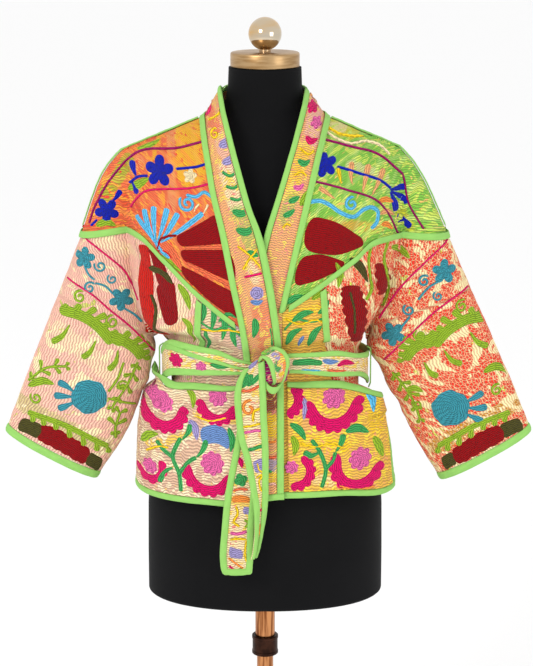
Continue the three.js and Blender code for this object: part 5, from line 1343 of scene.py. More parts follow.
        cord("yellow", 3.6, -12, 890, -9, 879, -2, 873, -9, 861, -5, 845),
        cord("yellow", 3.6, -14, 867, -5, 871, 3, 873),
        cord("hotPink", 4.6, -8, 815, -3, 818, 2, 821),
        leaf("orange", 6.1, -8, 795, -6, 782, -8, 769),
        leaf("yellow", 6.1, -3, 839, -2, 829, -5, 821),
    ],
    "tailBack": [
        wash("yellow", 15.2, 0.7, -51, 830, -23, 824),
        leaf("hotPink", 9.1, -41, 896, -37, 889, -35, 880),
        flower("green", 11.4, 4, 0.3, 0.4, -37, 861),
        cord("coral", 4.6, -49, 844, -38, 847, -26, 846),
        strip("orange", -51, 836, -37, 838, -23, 835, -51, 825, -37, 825, -23, 824),
        strip("lavender", -34, 819, -28, 819, -22, 817, -34, 806, -28, 806, -22, 804),
        cord("yellow", 4.6, -45, 820, -42, 808, -48, 795, -39, 787),
        cord("moss", 4.6, -32, 798, -26, 792, -31, 785),
        cord("carnation", 5.8, -54, 777, -42, 775, -28, 779),
        cord("yellow", 4.6, -54, 766, -42, 767, -29, 766),
        strip("lavender", -56, 756, -45, 752, -34, 749, -56, 736, -45, 734, -34, 733),
        cord("yellow", 3.6, -29, 764, -31, 746, -29, 729),
        cord("orange", 3.6, -57, 736, -45, 726, -34, 718),
        cord("hotPink", 3.6, -56, 723, -48, 716),
    ],
}


# embroidery: raised thread shapes in front-view millimetres, laid on a host surface
def asHost(layer, lift=0.0):
    def host(x, z, out):
        return surface((np.zeros_like(x, bool), x, z), layer, out + (lift(x, z) if callable(lift) else lift))
    return host


def spineOf(points, gap=2.0):
    at = spline(points)
    rough = np.stack(at(np.linspace(0, 1, 90)), axis=-1)
    length = np.linalg.norm(np.diff(rough, axis=0), axis=1).sum()
    t = np.linspace(0, 1, max(7, int(length / gap) + 1))
    x, z = at(t)
    dx, dz = np.gradient(x), np.gradient(z)
    size = np.maximum(np.hypot(dx, dz), 1e-6)
    return t, x, z, -dz / size, dx / size, length


def ribbonShape(points, width, kind):
    t, x, z, nx, nz, length = spineOf(points)
    end = np.minimum(t, 1 - t) * length / (width / 2)
    blunt = np.sqrt(np.clip(1 - (1 - np.clip(end, 0, 1)) ** 2, 0, 1))
    if kind == "leaf":
        half = np.sin(np.pi * t**0.85) ** 0.8
    elif kind == "finger":
        half = (0.32 + 0.68 * smooth(0, 0.75, t)) * blunt
    else:
        half = blunt
    a = np.linspace(-1, 1, 9 if width > 9 else 7)
    edge = half[:, None] * width / 2 * a
    u = np.repeat((t * length)[:, None], len(a), axis=1)
    return x[:, None] + nx[:, None] * edge, z[:, None] + nz[:, None] * edge, 1 - a**6 + 0 * u, u, edge


def stripShape(first, second, scallop=0.0):
    # the space between two curves, its ends rounded and its long edges lobed by scallop millimetres
    one, two = spineOf(first), spineOf(second)
    t = np.linspace(0, 1, max(len(one[0]), len(two[0])))
    (ax, az), (bx, bz) = spline(first)(t), spline(second)(t)
    wide = np.hypot(bx - ax, bz - az)
    length = (one[5] + two[5]) / 2
    count = int(max(7, wide.max() / 2.4)) | 1
    a = np.linspace(0, 1, count)
    lobes = scallop * (np.abs(np.sin(t * length / 9.5 * np.pi / 1.6)) - 0.4) / np.maximum(wide, 1)
    end = np.minimum(t, 1 - t) * length / np.minimum(np.maximum(wide / 2, 1), length * 0.22)
    blunt = np.sqrt(np.clip(1 - (1 - np.clip(end, 0, 1)) ** 2, 0, 1))
    s = 0.5 + (a - 0.5) * (blunt * (1 + 2 * lobes))[:, None]
    u = np.repeat((t * length)[:, None], count, axis=1)
    return (lerp(ax[:, None], bx[:, None], s), lerp(az[:, None], bz[:, None], s),
            1 - (2 * a - 1) ** 8 + 0 * u, u, s * wide[:, None])


def discShape(centre, radius, petals=0, depth=0.0, turn=0.0):
    rings, around = max(5, int(radius / 2.0)), max(20, int(radius * 3.2), petals * 10)
    theta, r = np.meshgrid(np.linspace(0, 2 * np.pi, around + 1), np.linspace(0, 1, rings))
    if petals:
        reach = radius * (1 - depth * (1 - np.abs(np.cos(petals * (theta - turn) / 2)) ** 0.8))
    else:
        reach = radius * (1 + 0.03 * np.sin(5 * theta + radius) + 0.02 * np.sin(9 * theta))
    return (centre[0] + r * reach * np.cos(theta), centre[1] + r * reach * np.sin(theta), 1 - r**7,
            theta * (0.25 + 0.75 * r) * radius, r * radius)


def spiralPoints(centre, radius, turns=1.6, start=0.0, hand=1):
    t = np.linspace(0, 1, 26)
    angle = start + hand * 2 * np.pi * turns * t
    reach = radius * (1 - 0.86 * t)
    return list(zip(centre[0] + reach * np.cos(angle), centre[1] + reach * np.sin(angle)))


def arcShape(centre, radius, width, start, stop, lobes):
    # a scalloped crescent, its lobes outward
    t = np.linspace(0, 1, max(24, lobes * 8))
    angle = np.radians(lerp(start, stop, t))
    end = np.minimum(t, 1 - t) * 7
    blunt = np.sqrt(np.clip(1 - (1 - np.clip(end, 0, 1)) ** 2, 0, 1))
    a = np.linspace(0, 1, 9)
    inner = radius - width / 2 * blunt
    outer = radius + width / 2 * blunt * (0.62 + 0.62 * np.abs(np.sin(np.pi * lobes * t)) ** 0.7)
    r = lerp(inner[:, None], outer[:, None], a)
    length = np.radians(abs(stop - start)) * radius * t
    return (centre[0] + r * np.cos(angle)[:, None], centre[1] + r * np.sin(angle)[:, None],
            1 - (2 * a - 1) ** 8 + 0 * r, np.repeat(length[:, None], 9, axis=1), a * width + 0 * r)


kindLevel = {"strip": 0.0, "lobed": 0.0, "arc": 0.08, "disc": 0.16, "leaf": 0.16, "finger": 0.2,
             "flower": 0.3, "spiral": 0.34, "cord": 0.38}


def frondRows(points, size, pairs, hands, stem):
    # a stem with rounded leaves on one or both sides, as rows of plainer kinds
    t, x, z, nx, nz, length = spineOf(points)
    tx, tz = nz, -nx
    made = [("cord", size * stem, points)]
    for k in range(pairs + 1):
        i = min(len(t) - 1, int((k + 0.35) / (pairs + 0.6) * len(t)))
        reach = size * (1.15 - 0.45 * abs(2 * k / max(pairs, 1) - 1)) * (1 + 0.18 * math.sin(5.1 * k + size))
        for hand in hands:
            dx, dz = tx[i] * 0.62 + hand * nx[i] * 0.78, tz[i] * 0.62 + hand * nz[i] * 0.78
            tip = (x[i] + dx * reach, z[i] + dz * reach)
            half = (x[i] + dx * reach * 0.5 + tx[i] * 1.5, z[i] + dz * reach * 0.5 + tz[i] * 1.5)
            made.append(("finger", size * 0.52, [(x[i], z[i]), half, tip]))
    return made


def within(region):
    # keeps a region's thread on its own cloth
    side = right if region.endswith("Right") else left
    if region.startswith("band"):
        ks = np.linspace(1, 3, 160)
        (_, ax, az), (_, bx, bz) = bandEdge(side, "outer")(ks), bandEdge(side, "inner")(ks)

        def keep(x, z):
            outer, inner = np.interp(z, az[::-1], ax[::-1]), np.interp(z, bz[::-1], bx[::-1])
            inner = lerp(outer, inner, 0.79)
            low, high = np.minimum(outer, inner) + 0.6, np.maximum(outer, inner) - 0.6
            return np.clip(x, low, high), np.clip(z, heights["hem"] + 14, shoulderHeight(x) - 2)
        return keep
    if region.startswith(("yoke", "side", "sleeve", "centre", "pocket")):
        def keep(x, z):
            x = np.sign(x) * np.minimum(np.abs(x), read(sleeveTable[side], "z", z, "outer") - 4)
            return x, np.minimum(z, shoulderHeight(x) - 4)
        return keep
    return lambda x, z: (x, z)


def embroider(region, rows, host, keep=None):
    # one object for each thread colour of a region
    meshes = {}
    keep = keep or within(region)
    plainRows = []
    for kind, key, size, points, *more in rows:
        if kind == "frond":
            plainRows += [(made, key, width, spots) for made, width, spots in frondRows(points, size, *more)]
        else:
            plainRows.append((kind, key, size, points, *more))
    for order, (kind, key, size, points, *more) in enumerate(plainRows):
        if kind == "wash":
            continue
        if kind == "strip" or kind == "lobed":
            half = len(points) // 2
            made = stripShape(points[:half], points[half:], size if kind == "lobed" else 0.0)
        elif kind == "disc":
            made = discShape(points[0], size)
        elif kind == "flower":
            made = discShape(points[0], size, *more)
        elif kind == "arc":
            made = arcShape(points[0], size, *more)
        elif kind == "spiral":
            made = ribbonShape(spiralPoints(points[0], size, *more[1:]), more[0], "cord")
        else:
            made = ribbonShape(points, size, kind)
        x, z, rise, u, v = made
        x, z = keep(x, z)
        out = -0.25 + rise * (1.05 + kindLevel[kind] + 0.02 * (order % 5))
        if kind == "disc" and size > 20:
            out = out + 0.8 * rise
        points3, normals = host(x, z, out)
        bm = meshes.setdefault(key, bmesh.new())
        sheetMesh(bm, points3, np.stack([u, v], axis=-1) * 0.001, None, normals, wrapped=True)
    made = []
    for key, bm in meshes.items():
        made.append(finish(region + key[0].upper() + key[1:], bm, threadOf(key)))
    return made


def painted(base, rows):
    # the ground's colour: the base with soft-edged washes over it
    washes = [row for row in rows if row[0] == "wash"]

    def colour(back, x, z):
        x, z = np.asarray(x, float), np.asarray(z, float)
        shade = np.broadcast_to(np.array(thread[base]), x.shape + (4,)).copy()
        ragged = 1.8 * np.sin(x / 3.1 + 1.7 * np.sin(z / 4.3)) * np.sin(z / 2.7 + 1.1 * np.sin(x / 5.9))
        for _, key, size, points, share in washes:
            away = np.full(x.shape, 1e9)
            for (x1, z1), (x2, z2) in zip(points, points[1:] or points):
                dx, dz = x2 - x1, z2 - z1
                t = clamp(((x - x1) * dx + (z - z1) * dz) / max(dx * dx + dz * dz, 1e-6))
                away = np.minimum(away, np.hypot(x - x1 - t * dx, z - z1 - t * dz))
            inside = 1 - smooth(size / 2 - 1.2, size / 2 + 1.2, away + ragged)
            inside = np.where(back, 0, inside * share)
            shade = shade + (np.array(thread[key]) - shade) * inside[..., None]
        return shade
    return colour


# the jacket's panels and bindings
def joined(chosen, *parts):
    # each place from the first part that is chosen there, and else from the last one
    return tuple(np.select(chosen, some, last) for *some, last in zip(*parts))


def makeSide(side):
    name = "right" if side == right else "left"
    layer = "over" if side == right else "under"

    def pick(a, b):
        return a if side == right else b

    def ground(part, base):
        return painted(base, motifs.get(part + pick("Right", "Left"), []))
    yokeAt, yokeTop, seam = frontYoke(side)
    centre, flank, seamSide, end, angles = frontPanels(side)
    band = bandPatch(side)
    sleeveAt_, cuffAt = sleevePatch(side)
    us = np.concatenate([refine(seamSteps[:4], 9), refine(seamSteps[3:10], 7)[1:],
                         refine(seamSteps[9:], 5)[1:]])
    cloth("front_yoke_" + name, us, refine(upperSteps, 11), yokeAt, pick("yokeRight", "yokeLeft"),
          ground("yoke", pick("coral", "leaf")), layer, gap=0.45)
    cloth("front_panel_" + name, refine(centreSteps, 11), refine(rows, 12), centre,
          pick("panelRight", "panelLeft"),
          ground("centre", pick("sand", "mustard")), layer)
    cloth("side_panel_" + name, refine(flankSteps, 6), refine(rows, 12), flank, pick("armRight", "armLeft"),
          ground("side", pick("pink", "red")), layer)
    cloth("neckband_" + name, refine([0, 0.42, 0.8], 8), refine(bandRows, 12), band, "band",
          ground("band", "apricot"), layer)
    bar("front_edge_binding_" + name, lambda u, k: band(0.806 + 0.19 * u, k), refine(bandRows, 14),
        layer=layer)

    sleeveUs = refine(acrossSleeve + [1 + s for s in armIn[1:]], 6)
    sleeveVs = refine(armholeRows + [1 + v for v in sleeveRows[1:]], 9)
    cloth("sleeve_" + name, sleeveUs, sleeveVs, sleeveAt_, pick("armRight", "armLeft"),
          ground("sleeve", pick("pink", "red")))
    bar("cuff_binding_" + name, lambda u, t: cuffAt(t, 0.03 + 0.94 * u),
        np.clip(refine(acrossSleeve + [1 + s for s in armIn[1:]], 10), 0.003, 1.997))

    def below(t):
        v = 11 / 12 + t * 0
        return joined([t <= 0.25, t <= 0.75],
                      centre(np.clip(t * 4, 0, 1), v), flank(np.clip((t - 0.25) * 2, 0, 1), v),
                      sleeveAt_(np.clip((t - 0.75) * 4, 0, 1), 0.25 + t * 0))
    ts = refine([0.055] + seamSteps[1:-1] + [0.996], 7)
    tape("yoke_binding_" + name, ts, lambda t: (False, *seam(t)), lambda t: yokeAt(t, upperSteps[1] + t * 0),
         below, layer, cut["foldClear"])

    def outsideBand(k):
        bx = backYoke(np.clip(2.5 + side * np.minimum(k, 1) / 2, 2, 3), upperSteps[7] + k * 0)
        up = yokeAt(seamSteps[1] + k * 0, np.clip(2 - k, 0, 1))
        down = centre(centreSteps[1] + k * 0, np.clip(3 - k, 0, 1))
        return joined([k < 1, k <= 2], bx, up, down)
    covered = 2 if side == left else 2.995
    ks = refine([k for k in bandRows if k < covered] + [covered], 8)
    tape("neckband_binding_" + name, ks, lambda k: band(0 * k, k), lambda k: band(0.42 + 0 * k, k),
         outsideBand, layer)
    tape("front_seam_binding_" + name, refine(rows[8:-1] + [0.948], 10), seamSide,
         lambda v: centre(centreSteps[2] + 0 * v, v), lambda v: flank(flankSteps[1] + 0 * v, v), layer,
         0.8 * cut["tapeClear"])

    def ridge(u):
        x, z = yokeTop(u)
        (a, na), (b, nb) = surface((False, x, z)), surface((True, x, z))
        n = na + nb
        return (a + b) / 2, n / np.linalg.norm(n, axis=-1, keepdims=True)

    def behindRidge(u):
        over = np.where(u <= 0.75, 1 - u / 0.75, -(u - 0.75) * 4)
        a = 1 - over
        return backYoke(2 - a if side == right else 3 + a, upperSteps[7] + 0 * u)
    tape("shoulder_binding_" + name, refine([0.05] + seamSteps[1:-1] + [0.99], 6), ridge,
         lambda u: yokeAt(u, upperSteps[7] + 0 * u), behindRidge, None)

    def slitAt(u, v):
        angle, z = end(v)
        return onBody(angle + (0.03 + 0.94 * u) * side * barDegrees, z)
    bar("slit_binding_front_" + name, slitAt, refine(slitRows, 10), layer=layer)

    def hemAt(u, angle):
        return onBody(angle, frontHem(onBody(angle, heights["hem"])[1]) + (0.03 + 0.94 * u) * cut["binding"])
    corner = [float(around(band(u, 3.0))) for u in (1, 0.9, 0.8, 0.42)]
    hemAngles = (corner + [lerp(angles[0], angles[1], u) for u in centreSteps]
                 + [lerp(angles[1], angles[2], u) for u in flankSteps[1:]] + [angles[2] + side * barDegrees])

    def pocketed(angle):
        return smooth(26, 44, np.abs(onBody(angle, heights["hem"])[1]))
    bar("hem_binding_front_" + name, hemAt, refine(hemAngles, 8), layer=layer,
        thick=lambda u, t: lerp(cut["edge"], cut["hem"], pocketed(t)),
        rise=lambda u, t: lerp(cut["edgeRise"], cut["pocketLift"], pocketed(t)))

    def pocketAt(u, level):
        v = level * (1 - read(pocketMouth[side], "u", u, "lower"))
        a, b = centre(np.clip(u, 0, 1), v), flank(np.clip(u - 1, 0, 1), v)
        return tuple(np.where(u <= 1, a[i], b[i]) for i in range(3))

    def gape(u, v):
        return cut["pocketLift"] + read(pocketMouth[side], "u", u, "gape") * (v / 0.5) ** 2
    us = refine([0.1] + centreSteps[1:] + [1 + u for u in flankSteps[1:]], 8)
    mouth = 0.5 - 1 / 30
    cloth("pocket_" + name, us, refine([v for v in rows if v < 0.47] + [mouth], 11), pocketAt,
          pick("pocketRight", "pocketLeft"), ground("pocket", pick("sand", "mustard")), layer,
          gape)
    bar("pocket_binding_" + name, lambda u, t: pocketAt(t, lerp(mouth + 0.001, 0.499, u)), us, layer=layer,
        thick=cut["edge"] - 1.4, rise=lambda u, t: gape(t, lerp(mouth, 0.5, u)) + 0.6)

    grid = np.meshgrid(np.linspace(0.1, 2, 70), np.linspace(0, mouth, 60))
    _, gridX, gridZ = pocketAt(*grid)
    gridRise = gape(*grid)
    known = np.stack([gridX.ravel(), gridZ.ravel()], axis=-1)

    def pocketRise(x, z):  # how far the pocket stands off at a place, from the nearest of a fine grid
        spots = np.stack([x.ravel(), z.ravel()], axis=-1)
        away = ((spots[:, None] - known[None]) ** 2).sum(axis=-1)
        near = np.argpartition(away, 4, axis=1)[:, :4]
        weight = 1 / (np.take_along_axis(away, near, axis=1) + 1e-3)
        risen = (gridRise.ravel()[near] * weight).sum(axis=1) / weight.sum(axis=1)
        return risen.reshape(x.shape)

    _, mouthX, mouthZ = pocketAt(us, mouth + 0 * us)
    order = np.argsort(mouthX)

    def belowMouth(x, z):
        return x, np.clip(z, frontHem(x) + 12, np.interp(x, mouthX[order], mouthZ[order]) - 0.5)
    suffix = pick("Right", "Left")
    for part in ("yoke", "side", "centre", "sleeve", "band", "pocket"):
        region = part + suffix
        keep = belowMouth if part == "pocket" else None
        embroider(region, motifs.get(region, []),
                                     asHost(layer, pocketRise if part == "pocket" else 0.0), keep)


def makeBack():
    cloth("back_yoke", refine(backSteps, 5), refine(upperSteps, 6), backYoke, "yokeLeft",
          painted("leaf", []), gap=0.45)
    cloth("back_panel", refine(backMiddle, 6), refine(rows, 8), backPanel, "back",
          painted("coral", []))
    arms = {side: sleevePatch(side)[0] for side in (right, left)}

    def below(u):
        v = 0.25 + 0 * u
        return joined([u < 1, u <= 4], arms[right](1 + np.clip(u, 0.001, 1), v),
                      backPanel(np.clip(u, 1, 4), 11 / 12 + 0 * u), arms[left](np.clip(6 - u, 1.001, 2), v))
    tape("back_yoke_binding", refine([0.004] + backSteps[1:-1] + [4.996], 6),
         lambda u: (True, *backSeamAt(u)), lambda u: backYoke(u, upperSteps[1] + 0 * u), below,
         clear=cut["foldClear"])
    for side in (right, left):
        edge = backEdges[side]

        def slitAt(u, v):
            angle, z = edge(v)
            return onBody(angle - (0.03 + 0.94 * u) * side * barDegrees, z)
        bar("slit_binding_back_" + ("right" if side == right else "left"), slitAt, refine(slitRows, 10))
    angles = ([float(backEdges[right](0.0)[0]) + barDegrees] + [float(backHemAngle(u)) for u in backMiddle]
              + [float(backEdges[left](0.0)[0]) - barDegrees])
    bar("hem_binding_back",
        lambda u, angle: onBody(angle, heights["hem"] + (0.03 + 0.94 * u) * cut["binding"]),
        refine(angles, 10))


for side in (right, left):
    makeSide(side)
makeBack()
print("panels and bindings made")


# the sash, its loops, the knot and the hanging ends
loopDegrees = 3.6
loopShape = ([-0.13, -0.07, 0, 1, 1.07, 1.14], [0.6, 2, 3.4, 3.4, 2, -3.5])
knot = {"place": (14, -147.9, 1039), "half": (25, 11, 33), "wraps": 3, "groove": 0.09}
tails = {
    "front": {"z": [737, 752, 780, 815, 845, 872, 900, 928, 960, 990, 1012, 1034],
              "x1": [-20, -17, -15, -16, -21, -26, -32, -40, -44, -46, -43, -33],
              "x2": [-14, -9, -3, 3, 5, 5, 5, 4, 2, 1, 0, -1],
              "y1": [-175, -177, -178, -175, -172, -168, -163, -158, -154, -150, -150, -153],
              "y2": [-165, -165, -164, -163, -163, -161, -160, -158, -155, -154, -157, -160]},
    "back": {"z": [707, 711, 722, 740, 782, 826, 870, 915, 940, 985, 1002],
             "x1": [-60, -65, -68, -69, -66, -62, -55, -46, -42, -38, -26],
             "x2": [-26, -21, -20, -19, -18, -14, -10, -6, -6, -2, 0],
             "y1": [-160, -160, -160, -161, -162, -161.5, -158, -152, -148.5, -143.5, -142],
             "y2": [-158, -158, -158, -159, -160, -160, -157.5, -152, -148.5, -143.5, -142]},
}
knotBack = (0, 7.9, -3)  # from the knot's middle to the place that its cloth faces away from
tailSkew = {"front": 16, "back": 0}  # the front end leaves the knot on a slant


def sashSpot(azimuth, v, out=0.0):
    azimuth, v, out = np.broadcast_arrays(azimuth, v, out)
    turn = np.where(azimuth > 180, azimuth - 360, azimuth)
    bearing = np.radians(turn)
    normal = np.stack([np.sin(bearing), -np.cos(bearing), np.zeros_like(bearing)], axis=-1)
    points = normal * (sashRadius(turn) + out)[..., None]
    low, high = read(sashTable, "azimuth", turn, "low"), read(sashTable, "azimuth", turn, "high")
    points[..., 2] = lerp(low, high, v)
    return points, normal


def azimuthOf(x):
    # where round the waist a front-view x meets the sash
    turn = np.linspace(-89, 89, 179)
    return np.interp(x, sashRadius(turn) * np.sin(np.radians(turn)), turn)


def onSash(x, z, out):
    turn = azimuthOf(x)
    low, high = read(sashTable, "azimuth", turn, "low"), read(sashTable, "azimuth", turn, "high")
    v = (z - low) / (high - low)
    return sashSpot(turn, v, sashFold(turn, v) + out)


def ridgeAt(v, middle, width):
    return np.exp(-((v - middle) / width) ** 2)


def sashFold(azimuth, v):
    # pleats that draw together towards the knot
    turn = np.where(azimuth > 180, azimuth - 360, azimuth)
    near = np.exp(-((turn - 4) / 46) ** 2)
    rightSide = (2.6 * ridgeAt(v, 0.62 - 0.003 * (turn + 10), 0.09)
                 - 1.2 * ridgeAt(v, 0.42 - 0.002 * (turn + 10), 0.07))
    leftSide = 2.2 * ridgeAt(v, 0.58, 0.08) - 1.4 * ridgeAt(v, 0.4, 0.05) + 1.8 * ridgeAt(v, 0.24, 0.06)
    return 0.5 + near * np.where(turn < 4, rightSide, leftSide) + 0.25 * np.sin(turn * 1.3 + v * 9)


def makeSash(sashColour):
    spans = {"sash_right": (-90, -8), "sash_left": (11, 90), "sash_back": (90, 270)}
    for name, (start, stop) in spans.items():
        azimuths = np.linspace(start, stop, int((stop - start) * 1.7) + 1)
        u, v = np.meshgrid(azimuths, np.linspace(0.02, 0.98, 44))
        points, normals = sashSpot(u, v, sashFold(u, v))
        sheetPiece(name, points, normals, quilts["band"], 2.0, sashColour(u, v))
        for end, (low, high) in {"Lower": (-0.01, 0.21), "Upper": (0.79, 1.01)}.items():
            def at(w, t, low=low, high=high):
                return sashSpot(t, lerp(low, high, w), 0.4 * sashFold(t, lerp(low, high, w)))
            bar(name + "Bar" + end, at, np.linspace(start + 0.4, stop - 0.4, int((stop - start) * 2) + 1),
                thick=4.0, rise=1.6)
    # one folded edge runs slantwise into the knot on the wearer's right
    bar("sashFoldBar", lambda w, t: sashSpot(t, 0.80 - 0.16 * w - 0.0018 * (t + 12)
                                             - 0.28 * smooth(-70, -12, t), 2.4 + 0 * t),
        np.linspace(-66, -9, 90), thick=3.4, rise=0.8)
    for name, azimuth in (("belt_loop_right", -86), ("belt_loop_left", 84)):
        vs = np.concatenate([np.linspace(-0.13, 0.06, 12), np.linspace(0.1, 0.9, 20),
                             np.linspace(0.94, 1.14, 12)])
        u, v = np.meshgrid(azimuth + np.linspace(-0.5, 0.5, 9) * loopDegrees, vs)
        dome = 0.8 * (1 - ((u - azimuth) / loopDegrees * 2) ** 4)
        points, normals = sashSpot(u, v, np.interp(v, *loopShape) + 1.6 + dome)
        sheetPiece(name, points, normals, limeBinding, 1.4, swap=True)


def tailSpot(key, u, z, out=0.0):
    table = tails[key]
    u, z, out = np.broadcast_arrays(u, z, out)
    a = np.stack([read(table, "z", z, "x1"), read(table, "z", z, "y1")], axis=-1)
    b = np.stack([read(table, "z", z, "x2"), read(table, "z", z, "y2")], axis=-1)
    flat = lerp(a, b, u[..., None])
    slant = tailSkew[key] * u * smooth(table["z"][-1] - 70, table["z"][-1], z)
    points = np.stack([flat[..., 0], flat[..., 1], z + slant], axis=-1)
    across = b - a
    normal = np.stack([across[..., 1], -across[..., 0], np.zeros_like(z, float)], axis=-1)
    normal /= np.linalg.norm(normal, axis=-1, keepdims=True)
    return points + normal * out[..., None], normal


def onTail(key):
    def at(x, z, out):
        x1, x2 = read(tails[key], "z", z, "x1"), read(tails[key], "z", z, "x2")
        u = (x - x1) / (x2 - x1)
        return tailSpot(key, u, z, tailFold(key, u, z) + out)
    return at


def tailFold(key, u, z):
    # soft cupping between the bound edges, with a few lengthwise folds in the front end
    base = -1.1 * (1 - (2 * u - 1) ** 2)
    if key == "front":
        base = base + 2.4 * ridgeAt(u, 0.36 + 0.0006 * (z - 800), 0.12) * smooth(720, 900, z)
    return base + 0.4 * np.sin(z / 21 + 5 * u)


def makeTails(tailColour):
    for key, name in (("front", "sash_tail_front"), ("back", "sash_tail_back")):
        low, high = tails[key]["z"][0], tails[key]["z"][-1]
        u, z = np.meshgrid(np.linspace(0.02, 0.98, 31), np.linspace(low + 1, high, int((high - low) / 1.6)))
        points, normals = tailSpot(key, u, z, tailFold(key, u, z))
        sheetPiece(name, points, normals, quilts["band"], 2.0, tailColour(key, u, z))
        zs = np.linspace(low + 2, high, int((high - low) / 2))
        wide = 10.5

        def share(z, key=key):
            table = tails[key]
            return wide / np.maximum(np.hypot(read(table, "z", z, "x2") - read(table, "z", z, "x1"),
                                              read(table, "z", z, "y2") - read(table, "z", z, "y1")), 24)
        bar(name + "BarRight", lambda w, z, key=key: tailSpot(key, -0.02 + w * share(z), z, 0.3 + 0 * z), zs,
            thick=4.2, rise=1.6)
        bar(name + "BarLeft", lambda w, z, key=key: tailSpot(key, 1.02 - w * share(z), z, 0.3 + 0 * z), zs,
            thick=4.2, rise=1.6)
    # the bound foot of the longer end
    low = tails["back"]["z"][0]
    bar("tailFoot", lambda w, t: tailSpot("back", lerp(0.04, 0.96, t), low + w * cut["binding"]
                                          + 2.5 * (2 * t - 1) ** 4, 0.5 + 0 * t),
        np.linspace(0, 1, 40), thick=4.2, rise=1.6)


# the knot: a rounded pleated core, a broad fold drawn over it from the top, and a loop under it, as x, y, z
wrapEdges = {
    "right": [(-4, -150, 1052), (-9, -158, 1050), (-6, -163.5, 1056), (2, -165.5, 1053), (8, -166.5, 1042),
              (11, -166, 1030), (13, -163, 1020), (13, -157, 1014), (10, -150, 1012)],
    "left": [(8, -146, 1066), (14, -155, 1070), (24, -161, 1068), (33, -163, 1060), (36, -163.5, 1048),
             (34, -163, 1036), (31, -161, 1026), (27, -156, 1017), (20, -150, 1013)],
}
loopEdges = {
    "upper": [(0, -150, 1020), (3, -158, 1014), (10, -162, 1010), (18, -162, 1010), (25, -158, 1013),
              (28, -150, 1018)],
    "lower": [(0, -149, 1014), (3, -157, 1004), (9, -161, 999), (16, -160.5, 999), (23, -156, 1006),
              (28, -149, 1014)],
}


def patchBetween(first, second, bulge):
    # a cloth patch between two space curves, with its outward directions
    one, two = curve(first), curve(second)

    def at(u, t):
        u, t = np.broadcast_arrays(np.asarray(u, float), np.asarray(t, float))

        def raw(a, b):
            p = lerp(one(b), two(b), a[..., None])
            p[..., 1] -= bulge * 4 * a * (1 - a) * np.sin(np.pi * np.clip(b, 0, 1)) ** 0.5
            return p
        e = 0.01
        du, dt = raw(u + e, t) - raw(u - e, t), raw(u, np.minimum(t + e, 1)) - raw(u, np.maximum(t - e, 0))
        normal = np.cross(du, dt)
        normal /= np.maximum(np.linalg.norm(normal, axis=-1, keepdims=True), 1e-9)
        centre = np.array(knot["place"]) + knotBack
        point = raw(u, t)
        flip = np.sign(np.sum(normal * (point - centre), axis=-1, keepdims=True))
        return point, normal * np.where(flip == 0, 1, flip)
    return at


def makeKnot(wrapColour):
    (cx, cy, cz), (wx, wy, wz) = knot["place"], knot["half"]
    turn, polar = np.meshgrid(np.linspace(0, 2 * np.pi, 73), np.linspace(0, np.pi, 60))
    a, b, c = np.sin(polar) * np.cos(turn), np.sin(polar) * np.sin(turn), np.cos(polar)
    square = (np.abs(a) ** 3 + np.abs(b) ** 3 + np.abs(c) ** 3) ** (-1 / 3)
    groove = 0.94 - knot["groove"] * np.cos(knot["wraps"] * np.pi * (a + 0.35 * c)) ** 2
    points = np.stack([cx + wx * a * square * groove, cy + wy * b * square * groove,
                       cz + wz * 0.86 * c * square], axis=-1)
    points[0], points[-1] = points[0].mean(axis=0), points[-1].mean(axis=0)
    uv = np.stack([turn * 0.012, polar * 0.02], axis=-1)
    shade = lerp(np.array(thread["plum"]), np.array(thread["leaf"]), smooth(0.35, 0.6, c)[..., None])
    bm = bmesh.new()
    sheetMesh(bm, points, uv, shade, wrapped=True)
    core = finish("sashKnot", closed(bm), quilts["band"], node="sash_knot")
    for name, edges, bulge, shape in (("knotWrap", (wrapEdges["right"], wrapEdges["left"]), 1.5, (33, 80)),
                                      ("knotLoop", (loopEdges["upper"], loopEdges["lower"]), 1.0, (17, 50))):
        at = patchBetween(*edges, bulge)
        u, t = np.meshgrid(np.linspace(0, 1, shape[0]), np.linspace(0, 1, shape[1]))
        points, normals = at(u, t)
        if name == "knotWrap":
            fold = 1.6 * ridgeAt(u, 0.66 - 0.2 * t, 0.1) - 1.5 * ridgeAt(u, 0.42 - 0.1 * t, 0.07)
            points = points + normals * (fold * np.sin(np.pi * t))[..., None]
        if name == "knotLoop":
            sheetPiece(name, points, normals, limeBinding, 2.2)
        else:
            sheetPiece(name, points, normals, quilts["band"], 2.0, wrapColour(u, t))
            for key, edge in (("Right", (-0.06, 0.22)), ("Left", (0.84, 1.05))):
                bar(name + "Bar" + key, lambda w, t, edge=edge, at=at: at(lerp(*edge, w), t),
                    np.linspace(0, 1, 90), thick=3.8, rise=1.5)


def washedSash(azimuth, v):
    turn = np.where(azimuth > 180, azimuth - 360, azimuth)
    x = sashRadius(turn) * np.sin(np.radians(turn))
    z = lerp(read(sashTable, "azimuth", turn, "low"), read(sashTable, "azimuth", turn, "high"), v)
    return painted("cream", motifs["sashRight"] + motifs["sashLeft"])(np.abs(turn) > 90, x, z)


def washedTail(key, u, z):
    x = lerp(read(tails[key], "z", z, "x1"), read(tails[key], "z", z, "x2"), u)
    return painted("cream", motifs["tail" + key.capitalize()])(False, x, z)


makeSash(washedSash)
makeTails(washedTail)


